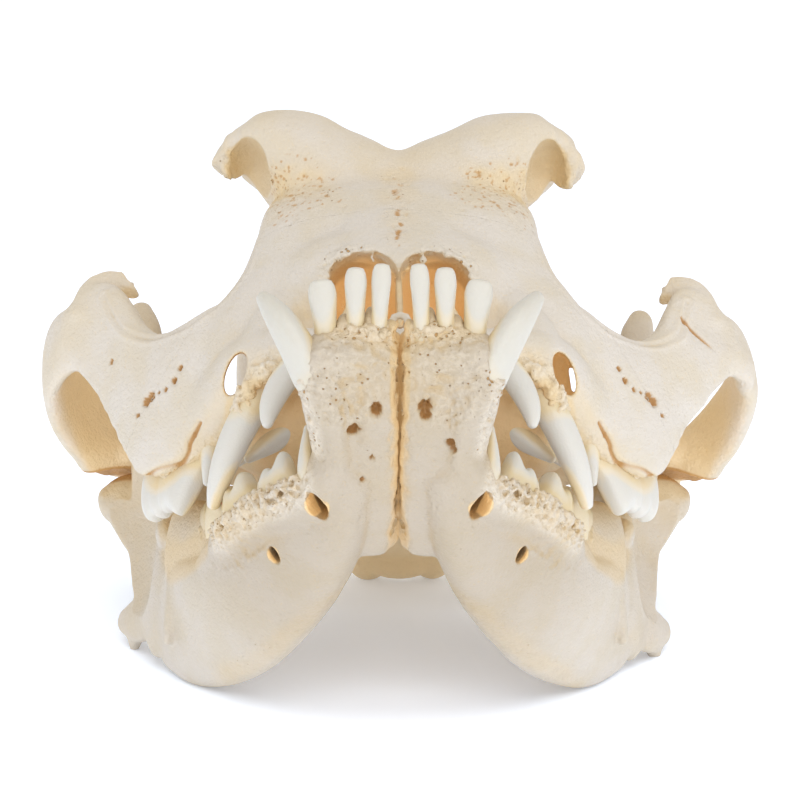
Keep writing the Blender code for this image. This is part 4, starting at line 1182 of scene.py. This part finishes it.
def boneMaterial(name, look):
    # bleached and degreased bone: matt to satin ivory with a fine grain; painted shade makes it tan
    # where it is hidden and towards the rear and orange in its deep holes, and a painted glow lights
    # its thin and deep places
    made, tree, shader = newMaterial(name)
    place = objectPlace(tree)
    layer = {key: masked(tree, key) for key in ("paintedHollowShade", "tan", "porous", "froth", "crust", "glow",
                                                "stainAndShade", "paintedJawShade")}
    noise = {key: noised(tree, place, look[key + "Size"], detail) for key, detail in (
        ("mottle", 4.0), ("blotch", 3.0), ("pebble", 2.0), ("grain", 5.0), ("dust", 2.0))}
    pores = grained(tree, place, look["poreSpacing"])
    web = grained(tree, place, look["webSpacing"])

    # a pore opens where its cell's middle is near, and where the bone is porous there
    reach = reckoned(tree, "MULTIPLY_ADD", layer["porous"], 0.34, -0.06)
    reach = reckoned(tree, "MULTIPLY", reach, ranged(tree, noise["blotch"], 0.38, 0.62, 0.35, 1.25))
    hole = ranged(tree, reckoned(tree, "SUBTRACT", reach, pores), 0.0, 0.10)
    netHole = reckoned(tree, "MULTIPLY", ranged(tree, web, 0.42, 0.16), layer["froth"])
    wobble = reckoned(tree, "MULTIPLY_ADD", noise["mottle"], 0.3, -0.15)
    paintedHollowShade = reckoned(tree, "ADD", layer["paintedHollowShade"], reckoned(tree, "MULTIPLY", wobble, 0.4))
    tan = ranged(tree, reckoned(tree, "ADD", layer["tan"], wobble), 0.0, 1.0)
    stainedAndShaded = ranged(tree, reckoned(tree, "ADD", layer["stainAndShade"], wobble), 0.15, 0.8, 0.0, 0.85)
    lumps = ranged(tree, noise["pebble"], 0.4, 0.62, 0.0, 0.7)

    # one colour over the other, each by its own amount
    colour = toLinear(look["ivory"])
    for amount, key in (
            (ranged(tree, noise["mottle"], 0.36, 0.66), "cream"),
            (reckoned(tree, "MULTIPLY", layer["porous"], 0.65), "weathered"),
            (reckoned(tree, "MULTIPLY", layer["crust"], lumps), "crust"),
            (tan, "tan"),
            # painted shade: tan, then orange, then deep orange as the place is more hidden
            (ranged(tree, paintedHollowShade, 0.08, 0.42, 0.0, 0.75), "tan"),
            (ranged(tree, paintedHollowShade, 0.35, 0.85), "orange"),
            (ranged(tree, paintedHollowShade, 0.85, 1.3), "deepOrange"),
            (reckoned(tree, "MULTIPLY", ranged(tree, noise["grain"], 0.42, 0.3), 0.3), "tan"),
            (reckoned(tree, "MULTIPLY", hole, 0.85), "pore"),
            (reckoned(tree, "MULTIPLY", netHole, 0.25), "tan"),
            (stainedAndShaded, "stainAndShade")):
        colour = mixed(tree, amount, colour, toLinear(look[key]))
    # painted shade: darker over the front of the lower jaw
    colour = mixed(tree, layer["paintedJawShade"], colour, toLinear(look["paintedJawShade"]), "MULTIPLY")
    tree.links.new(colour, shader.inputs["Base Color"])

    height = reckoned(tree, "MULTIPLY", noise["dust"], 0.08)
    rugged = reckoned(tree, "MULTIPLY_ADD", layer["porous"], 0.45, 0.3)
    for source, amount in ((noise["grain"], 0.35), (noise["pebble"], rugged), (hole, -0.55),
                           (netHole, -0.2)):
        height = reckoned(tree, "MULTIPLY_ADD", source, amount, height)
    bumped(tree, shader, height, 1.0, look["bump"])
    # painted glow: emission that stands in for the light coming through the thin walls of the deep
    # holes
    through = mixed(tree, layer["glow"], (0.0, 0.0, 0.0, 1.0), toLinear(look["throughLight"]))
    tree.links.new(through, shader.inputs["Emission Color"])
    shader.inputs["Emission Strength"].default_value = 1.0
    rough = ranged(tree, noise["grain"], 0.3, 0.7, look["roughness"] - 0.06, look["roughness"] + 0.1)
    tree.links.new(rough, shader.inputs["Roughness"])
    return made


toothLook = {
    # the last three colours are painted shade: the first darkens the lower teeth, the other two warm
    # hidden enamel
    "enamel": "#D5D1C8", "lower": "#F1EFEA", "neck": "#DED3BE", "root": "#E0CCA2",
    "roughness": 0.32, "subsurface": 0.15, "mottleSize": 3.5, "streakSize": 0.5, "bump": 0.0002,
}


def enamelMaterial(name, look):
    # tooth enamel: white, glossy and a little see-through; painted shade warms it where it is hidden
    # and at the rear of the lower rows, and darkens the lower teeth
    made, tree, shader = newMaterial(name)
    place = objectPlace(tree)
    mottle = noised(tree, place, look["mottleSize"], 3.0)
    cool = reckoned(tree, "SUBTRACT", masked(tree, "paintedHollowShade"), 0.25)
    warm = reckoned(tree, "MULTIPLY_ADD", mottle, 0.5, cool)
    colour = toLinear(look["enamel"])
    # painted shade: cream, then tan, where the tooth is hidden, with some cream at random from the
    # mottle
    colour = mixed(tree, ranged(tree, warm, 0.05, 0.5), colour, toLinear(look["neck"]))
    colour = mixed(tree, ranged(tree, warm, 0.5, 1.1), colour, toLinear(look["root"]))
    # painted shade: the lower teeth are darker all over
    colour = mixed(tree, masked(tree, "paintedJawShade"), colour, toLinear(look["lower"]), "MULTIPLY")
    tree.links.new(colour, shader.inputs["Base Color"])
    bumped(tree, shader, noised(tree, place, look["streakSize"], 3.0), 0.35, look["bump"])
    setInputs(shader, {
        "Roughness": look["roughness"], "Subsurface Weight": look["subsurface"],
        "Subsurface Radius": (1.0, 0.75, 0.5), "Subsurface Scale": 0.0014,
    })
    return made


# putting the bones together


def posed(obj, which):
    turn = Matrix.Rotation(-math.radians(pose[which]["pitch"]), 4, "X")
    obj.data.transform(Matrix.Translation([c * mm for c in pose[which]["origin"]]) @ turn)
    return obj


def block(name, low, high, turn=None):
    # a box between two corners, turned about its own middle; used only as a cutter
    low, high = np.array(low, float), np.array(high, float)
    points = (np.array(list(np.ndindex(2, 2, 2))) - 0.5) * (high - low)
    if turn is not None:
        points = points @ np.array(turn).T
    quads = np.array([(0, 1, 3, 2), (4, 6, 7, 5), (0, 4, 5, 1), (2, 3, 7, 6), (0, 2, 6, 4),
                      (1, 5, 7, 3)])
    return meshObject(name, points + (low + high) / 2, quads, np.empty((0, 3), int))


def beyond(plane, size=320):
    # a large box that fills the side of a plane (point, normal) that the normal points to
    point, normal = plane
    z = Vector(normal).normalized()
    turn = z.to_track_quat("Z", "Y").to_matrix()
    middle = np.array(point, float) + np.array(z) * size / 2
    return block("beyond", middle - size / 2, middle + size / 2, turn)


def copied(obj):
    return linked(obj.name, obj.data.copy())


def split(source, cutter):
    # takes the part inside the cutter out of the source and returns it
    part = mainShell(combine(copied(source), [copied(cutter)], "INTERSECT"))
    combine(source, [cutter], "DIFFERENCE")
    return part


# where the upper skull is parted, as in the frame: a point and the normal of each plane
seams = {
    "crown": ((0, -61, 40), (0, 1, 0)),
    "brow": ((0, -80, 32.5), (0, 0.4695, 0.8829)),
    "cheek": ((44.7, -86, 11.5), (0.8112, 0.1140, 0.5736)),
    "arch": ((64.4, -57, 18.8), (0.2671, -0.8736, 0.4067)),
}
# the box that holds all of a cheek arch, and nothing else beyond its two seams
cheekZone = {
    "left": ((32, -125, -40), (95, -30, 47)),
    "right": ((-95, -125, -40), (-32, -30, 47)),
}


def planesOf(name):
    # the plane, and its mirror image where there are two such seams
    point, normal = (np.array(v, float) for v in seams[name])
    twice = [(1, 1, 1), (-1, 1, 1)] if name in ("cheek", "arch") else [(1, 1, 1)]
    return [(point * side, normal * side) for side in twice]


def onPlanes(points, planes, reach=0.02):
    on = np.zeros(len(points), bool)
    for point, way in planes:
        on |= np.abs((points - point) @ way) < reach
    return on


def capsFlat(obj, planes):
    # the faces inside a seam are shaded flat, so that they don't bend the skin's shading
    mesh = obj.data
    count = len(mesh.polygons)
    middle, normal = np.empty(count * 3, np.float32), np.empty(count * 3, np.float32)
    mesh.polygons.foreach_get("center", middle)
    mesh.polygons.foreach_get("normal", normal)
    middle, normal = middle.reshape(-1, 3) / mm, normal.reshape(-1, 3)
    smooth = np.ones(count, bool)
    for plane in planes:
        smooth &= ~(onPlanes(middle, [plane]) & (np.abs(normal @ plane[1]) > 0.995))
    mesh.polygons.foreach_set("use_smooth", smooth)
    mesh.update()
    paint(obj, "onSeam", onPlanes(corners(obj), planes))


def overSeams(obj, value):
    # at the doubled points of a seam the value is the mean of the free neighbours
    onSeam, ends = painted(obj, "onSeam") > 0.5, edgeEnds(obj)
    a, b = np.vstack([ends, ends[:, ::-1]]).T
    used = onSeam[a] & ~onSeam[b]
    total = np.bincount(a[used], value[b[used]], len(value))
    number = np.bincount(a[used], minlength=len(value))
    return np.where(number > 0, total / np.maximum(number, 1), value)


def slimmed(obj, planes=()):
    # fewer triangles, but none less along the seams, so that they stay shut
    obj.data.calc_loop_triangles()
    count = len(obj.data.loop_triangles)
    if count > fineness["mostTriangles"]:
        free = ~onPlanes(corners(obj), planes, 0.6)
        group = obj.vertex_groups.new(name="free")
        group.add(np.flatnonzero(free).tolist(), 1.0, "REPLACE")
        step = obj.modifiers.new("slim", "DECIMATE")
        step.ratio = fineness["mostTriangles"] / count
        step.vertex_group = "free"
        applied(obj)
        obj.vertex_groups.clear()
    return obj


def finished(obj, name, node, material):
    obj.name = name
    obj.data.name = name
    obj.data.materials.clear()
    obj.data.materials.append(material)
    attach(obj, "root")
    if node:
        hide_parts(node)
    obj.data.calc_loop_triangles()
    print("  ", name, len(obj.data.loop_triangles), "triangles")
    return obj


# middle, half sizes and rounds of the places where creases are melted away
easedPlaces = [((0, -93, 49), (28, 13, 14), 120), ((23, -97, 34), (14, 12, 14), 70),
               ((-23, -97, 34), (14, 12, 14), 70)]

# how far the left side of this skull has moved against the right one, in mm
leftShift = {
    "archIn": 1.8, "cheekIn": 0.4, "archDown": 1.3, "browDown": 0.5, "browHookDown": 1.8,
    "cheekEdgeOut": 1.4, "archEdgeDown": 1.5,
    "jawTurn": 0.023, "jawIn": 1.7, "jawDown": 1.7, "jawHook": (3.2, 3.0),
}


def settled(obj, which):
    # the left arch and the left half of the jaw sit a little further in, the arch lower as well
    points, by = corners(obj), leftShift
    x, y, z = points.T.copy()
    if which == "skull":
        points[:, 0] -= (by["archIn"] * softStep(z, 20, 36) * softStep(x, 46, 56)
                         + by["cheekIn"] * softStep(z, 22, 34) * (np.abs(x) < 46))
        points[:, 2] -= (by["archDown"] * softStep(x, 30, 38) * softStep(z, 13, 25)
                         * (1 - softStep(z, 42, 50)))
        points[:, 2] -= (by["browDown"] * softStep(x, 5, 15) * (1 - softStep(x, 22, 28))
                         * softStep(z, 48, 58))
        points[:, 2] -= (by["browHookDown"] * softStep(x, 23, 28) * (1 - softStep(z, 58, 66))
                         * softStep(z, 48, 56) * (x < 46))
        points[:, 0] += (by["cheekEdgeOut"] * softStep(x, 50, 54) * (1 - softStep(y, -74, -70))
                         * softStep(z, 8, 14) * (1 - softStep(z, 24, 30)))
        points[:, 2] -= (by["archEdgeDown"] * softStep(x, 50, 58) * softStep(y, -66, -56)
                         * (1 - softStep(z, 9, 17)))
    else:
        points[:, 0] -= by["jawTurn"] * (y + 100) + by["jawIn"] * softStep(z, 0, 33)
        points[:, 2] -= by["jawDown"] * softStep(z, 4, 30)
        rear = softStep(y, -12, -4) * (1 - softStep(z, -21, -13))
        points[:, 1:] -= rear[:, None] * by["jawHook"]
    setCorners(obj, points)


# strength of the painted glow that stands in for light coming through the bone
glowLook = {
    "jawHoles": 0.6, "skullHoles": 0.34, "chinSlit": 0.35, "palate": 0.12, "thinArch": 0.29,
    "froth": 0.06,
}


def colourBone(bone, isJaw):
    # the masks of 0 to 1 that the bone material reads, from the sculpted masks and from how
    # hidden each place is; they carry the painted glow and the painted shade of hidden places
    points = corners(bone)
    points[:, 2] = np.maximum(points[:, 2], 0.0)     # nothing stands below the table
    setCorners(bone, points)
    x, y, z = points.T
    near, deep, ridge, groove = (painted(bone, key) for key in ("near", "deep", "ridge", "groove"))
    inside = painted(bone, "inside") * softStep(near, 1.0, 1.7)
    bare = 1 - 0.8 * painted(bone, "crust")

    # painted glow: emission in the holes, the chin slit, the palate, the thin arch and the froth
    glow = softStep(inside, 0.3, 0.85) * glowLook["jawHoles" if isJaw else "skullHoles"]
    if isJaw:
        # painted glow on the two cut sides that face each other at the chin
        gap = glowLook["chinSlit"] * softStep(np.abs(outward(bone)[:, 0]), 0.4, 0.8)
        gap *= (1 - softStep(np.abs(x), 2, 3)) * softStep(near, 1.4, 2.6)
    else:
        gap = glowLook["palate"] * painted(bone, "gap")
    glow = np.maximum.reduce([
        glow, gap, glowLook["thinArch"] * painted(bone, "thin"),
        glowLook["froth"] * painted(bone, "froth") * softStep(near, 1.2, 2.2),
    ])
    paint(bone, "glow", overSeams(bone, glow))

    # painted shade: tan to orange where the skin is hidden, in grooves and pores, in the holes and on
    # the roof of the mouth
    paintedHollowShade = 0.5 * softStep(deep, 2.8, 7) + bare * (0.3 * softStep(near, 2.8, 5.5) + 0.2 * groove)
    paintedHollowShade += 0.35 * groove * painted(bone, "porous")
    paintedHollowShade = np.maximum.reduce([paintedHollowShade, inside, 0.85 * painted(bone, "mouth")])
    if not isJaw:
        # painted shade on the underside of the braincase
        under = softStep(y, -40, -10) * (1 - softStep(z, 20, 40)) * (np.abs(x) < 20)
        paintedHollowShade = np.maximum(paintedHollowShade, 0.7 * under)
    paint(bone, "paintedHollowShade", overSeams(bone, paintedHollowShade))

    # tan: painted shade towards the rear, in hidden places and in grooves, with the tone of the ridges
    # and of the warm patches
    tan = 0.4 * softStep(y, -40, 30) + 0.45 * softStep(deep, 1.5, 2.8)
    tan += bare * (0.16 * ridge + 0.25 * groove) + 0.4 * painted(bone, "warm")
    paint(bone, "tan", overSeams(bone, tan))


def colourTeeth(tooth, isLower):
    # painted shade: warmer where the tooth is hidden and at the rear of the lower rows; the lower teeth
    # darker all over
    paintedHollowShade = 0.9 * softStep(painted(tooth, "near"), 1.3, 3.8)
    if isLower:
        paintedHollowShade += softStep(corners(tooth)[:, 1], -60, -42)
    paint(tooth, "paintedHollowShade", paintedHollowShade)
    paint(tooth, "paintedJawShade", np.full(len(paintedHollowShade), float(isLower)))


def mirroredSpots(spots):
    return np.vstack([spots, spots * (-1, 1, 1, 1)])


# along which edges crumbs of bone are strewn: path, how far from it, number of lumps and of
# small holes, radius of the largest lump
skullCrumbs = (
    ("canineSocket", 2.2, 300, 800, 0.65), ("rowEdge", 1.8, 230, 700, 0.65),
    ("noseRim", 0.5, 60, 160, 0.5), ("browHook", 0.8, 60, 60, 0.7), ("eyeHook", 1.2, 70, 50, 0.7),
)


def noseBeads(count=8, wide=1.5, tall=1.3, radius=0.75):
    # a ring of beads round the pit in the knob at the front end of the nose floor
    turns = np.arange(count) * 2 * math.pi / count
    still = np.zeros(count)
    return np.stack([wide * np.cos(turns), still - 115.2, 18 + tall * np.sin(turns), still + radius], 1)


print("skull: shaping")
parts = braincase() + brow() + faceColumn() + upperJawBone() + cheekBone()
cranium = combine(parts[0], parts[1:], "UNION")
evenSkin(cranium, fineness["skullVoxel"], skullForm["joinRounding"])
meltedCreases(cranium, easedPlaces)
skullHoles = [
    strewnOn(cranium, [(s * x, y, z, r) for x, y, z, r in skullMarks["browPores"] for s in (1, -1)],
             (0, 1, 0.3), 62, (0.26, 0.55), seed=3),
    strewnOn(cranium, skullMarks["midPores"], (0, 0.95, 0.3), 80, (0.3, 0.46), seed=4)
    * (0.5, 1, 1, 1),
]
skullMarks["pores"], skullMarks["finePores"] = skullHoles[0] * (1, 1, 1, 1.2), skullHoles[1]
lumps, pricks = [], []
for key, spread, lumpCount, prickCount, greatest in skullCrumbs:
    path = skullMarks[key]
    raised = strewnAlong(path, spread, lumpCount, (0.3, greatest), seed=5)
    pricked = strewnAlong(path, spread * 1.6, prickCount, (0.22, 0.42), seed=6)
    lumps.append(mirroredSpots(raised))
    pricks.append(mirroredSpots(pricked))
pricks = cluster("pricks", np.vstack(pricks + skullHoles), fineness["prickVoxel"])
combine(cranium, skullHollows() + [pricks], "DIFFERENCE")
lumps = cluster("lumps", np.vstack(lumps + [noseBeads()]), fineness["skullLumpVoxel"])
combine(cranium, noseInside() + [lumps], "UNION")
evenSkin(cranium, fineness["skullVoxel"], skullForm["cutRounding"])
mainShell(cranium)
print("skull: sculpting", len(cranium.data.vertices))
sculpted(cranium, sculptSkull)
settled(cranium, "skull")

print("skull: parting into its bones")
bones = {}
for number, side in enumerate(("left", "right")):
    zone = block("zone", *cheekZone[side])
    for seam in ("cheek", "arch"):
        combine(zone, [beyond(planesOf(seam)[number])], "INTERSECT")
    bones["cheek_" + side] = split(cranium, zone)
for name, seam in (("braincase", "crown"), ("brow", "brow")):
    bones[name] = split(cranium, beyond(seams[seam]))
bones["snout"] = mainShell(cranium)
allPlanes = [plane for seam in seams for plane in planesOf(seam)]
for bone in bones.values():
    slimmed(bone, allPlanes)
    capsFlat(bone, allPlanes)
    posed(bone, "skull")

print("jaw: shaping")
parts = jawBone()
jaw = combine(parts[0], parts[1:], "UNION")
evenSkin(jaw, fineness["jawVoxel"], skullForm["joinRounding"])
lumps = np.vstack([
    strewnAlong(jawMarks["froth"], 2.5, 1300, (0.25, 0.5), seed=15),
    strewnOn(jaw, jawMarks["spill"], (0, 0.945, 0.325), 420, (0.25, 0.5), seed=21, sink=-0.2),
    strewnAlong(jawMarks["socket"], 1.6, 800, (0.25, 0.5), seed=16),
])
combine(jaw, [cluster("lumps", lumps, fineness["jawLumpVoxel"])], "UNION")
pricks = np.vstack([
    strewnAlong(jawMarks["froth"], 3.4, 900, (0.2, 0.3), seed=17),
    strewnAlong(jawMarks["socket"], 2.8, 600, (0.2, 0.3), seed=18),
    strewnOn(jaw, jawMarks["chin"], (0, 1, -0.25), 45, (0.18, 0.38), seed=19),
    strewnOn(jaw, jawMarks["lowChin"], (0, 0.945, 0.325), 40, (0.16, 0.3), seed=22),
    strewnAlong(jawMarks["torn"], 1.5, 260, (0.3, 0.6), seed=20, squash=(0.5, 1, 1)),
])
pricks = cluster("pricks", pricks, fineness["prickVoxel"])
combine(jaw, jawHollows() + [pricks], "DIFFERENCE")
evenSkin(jaw, fineness["jawVoxel"], skullForm["cutRounding"])
mainShell(jaw)
bones["jaw_left"], bones["jaw_right"] = jaw, mirrored(jaw)
print("jaw: sculpting", len(jaw.data.vertices))
for side in ("left", "right"):
    half = slimmed(bones["jaw_" + side])
    sculpted(half, sculptJaw)
    if side == "left":
        settled(half, "jaw")
    posed(half, "jaw")
    half.data.shade_smooth()

print("teeth")
teeth = {}
teeth["upperTeeth"] = posed(toothRow(upperRow, upperLobes, True), "skull")
teeth["lowerTeethLeft"] = toothRow(lowerRow, lowerLobes, False)
teeth["lowerTeethRight"] = mirrored(teeth["lowerTeethLeft"])
settled(teeth["lowerTeethLeft"], "jaw")
for side in ("Left", "Right"):
    posed(teeth["lowerTeeth" + side], "jaw")
for tooth in teeth.values():
    tooth.data.shade_smooth()

print("colouring")
paintHidden(list(bones.values()) + list(teeth.values()))
for name, bone in bones.items():
    colourBone(bone, name.startswith("jaw"))
for name, tooth in teeth.items():
    colourTeeth(tooth, name != "upperTeeth")

bleachedBone = boneMaterial("bleachedBone", boneLook)
enamel = enamelMaterial("toothEnamel", toothLook)
for name, bone in bones.items():
    finished(bone, name + "_bone", name, bleachedBone)
for name, tooth in teeth.items():
    finished(tooth, name, None, enamel)


# floor, light and camera

studio = {
    "floor": "#EAF1FC", "floorGlow": "#F2F6FF", "glow": 0.2, "floorHalf": 4.0,     # m
    "white": 0.9,                                               # strength of the white world
    "target": (0.0, -0.01415, 0.0524), "distance": 0.9, "elevation": 13.0,
    "lens": 217.6, "sensor": 36.0,                              # mm
}
# square lamps: place, what they point at, side in metres, watts
lamps = {
    "keyBox": ((0.25, -1.0, 0.55), (0, 0.0, 0.03), 1.0, 3.7),
    "tableLight": ((0.05, -0.8, 0.95), (0, -0.1, 0), 0.9, 10.5),    # whitens the table alone
}


def aimed(obj, place, target):
    obj.location = place
    obj.rotation_euler = (Vector(target) - Vector(place)).to_track_quat("-Z", "Y").to_euler()
    return obj


def makeFloor():
    # a white acrylic light table: matt, and lit a little from below
    half = studio["floorHalf"]
    mesh = bpy.data.meshes.new("floor")
    mesh.from_pydata([(-half, -half, 0), (half, -half, 0), (half, half, 0), (-half, half, 0)], [],
                     [(0, 1, 2, 3)])
    floor = linked("floor", mesh)
    made, _, shader = newMaterial("litAcrylicTable")
    setInputs(shader, {
        "Base Color": toLinear(studio["floor"]), "Roughness": 0.9,
        "Emission Color": toLinear(studio["floorGlow"]), "Emission Strength": studio["glow"],
    })
    mesh.materials.append(made)
    return floor


def areaLight(name):
    place, target, side, watts = lamps[name]
    data = bpy.data.lights.new(name, "AREA")
    data.shape = "RECTANGLE"
    data.size = data.size_y = side
    data.energy = watts
    return aimed(linked(name, data), place, target)


def makeWorld():
    world = bpy.data.worlds.new("studioWhite")
    world.use_nodes = True
    background = world.node_tree.nodes["Background"]
    background.inputs["Color"].default_value = (1, 1, 1, 1)
    background.inputs["Strength"].default_value = studio["white"]
    bpy.context.scene.world = world
    bpy.context.scene.view_settings.view_transform = "Standard"


def makeCamera():
    # in front of the target and above it, as the photograph was taken
    data = bpy.data.cameras.new("camera")
    data.lens = studio["lens"]
    data.sensor_width = studio["sensor"]
    data.clip_start = 0.01
    lift = math.radians(studio["elevation"])
    target = Vector(studio["target"])
    place = target + Vector((0, -math.cos(lift), math.sin(lift))) * studio["distance"]
    bpy.context.scene.camera = aimed(linked("camera", data), place, target)


table = makeFloor()
areaLight("keyBox")
tableOnly = bpy.data.collections.new("tableOnly")
bpy.context.scene.collection.children.link(tableOnly)
tableOnly.objects.link(table)
areaLight("tableLight").light_linking.receiver_collection = tableOnly
makeWorld()
makeCamera()
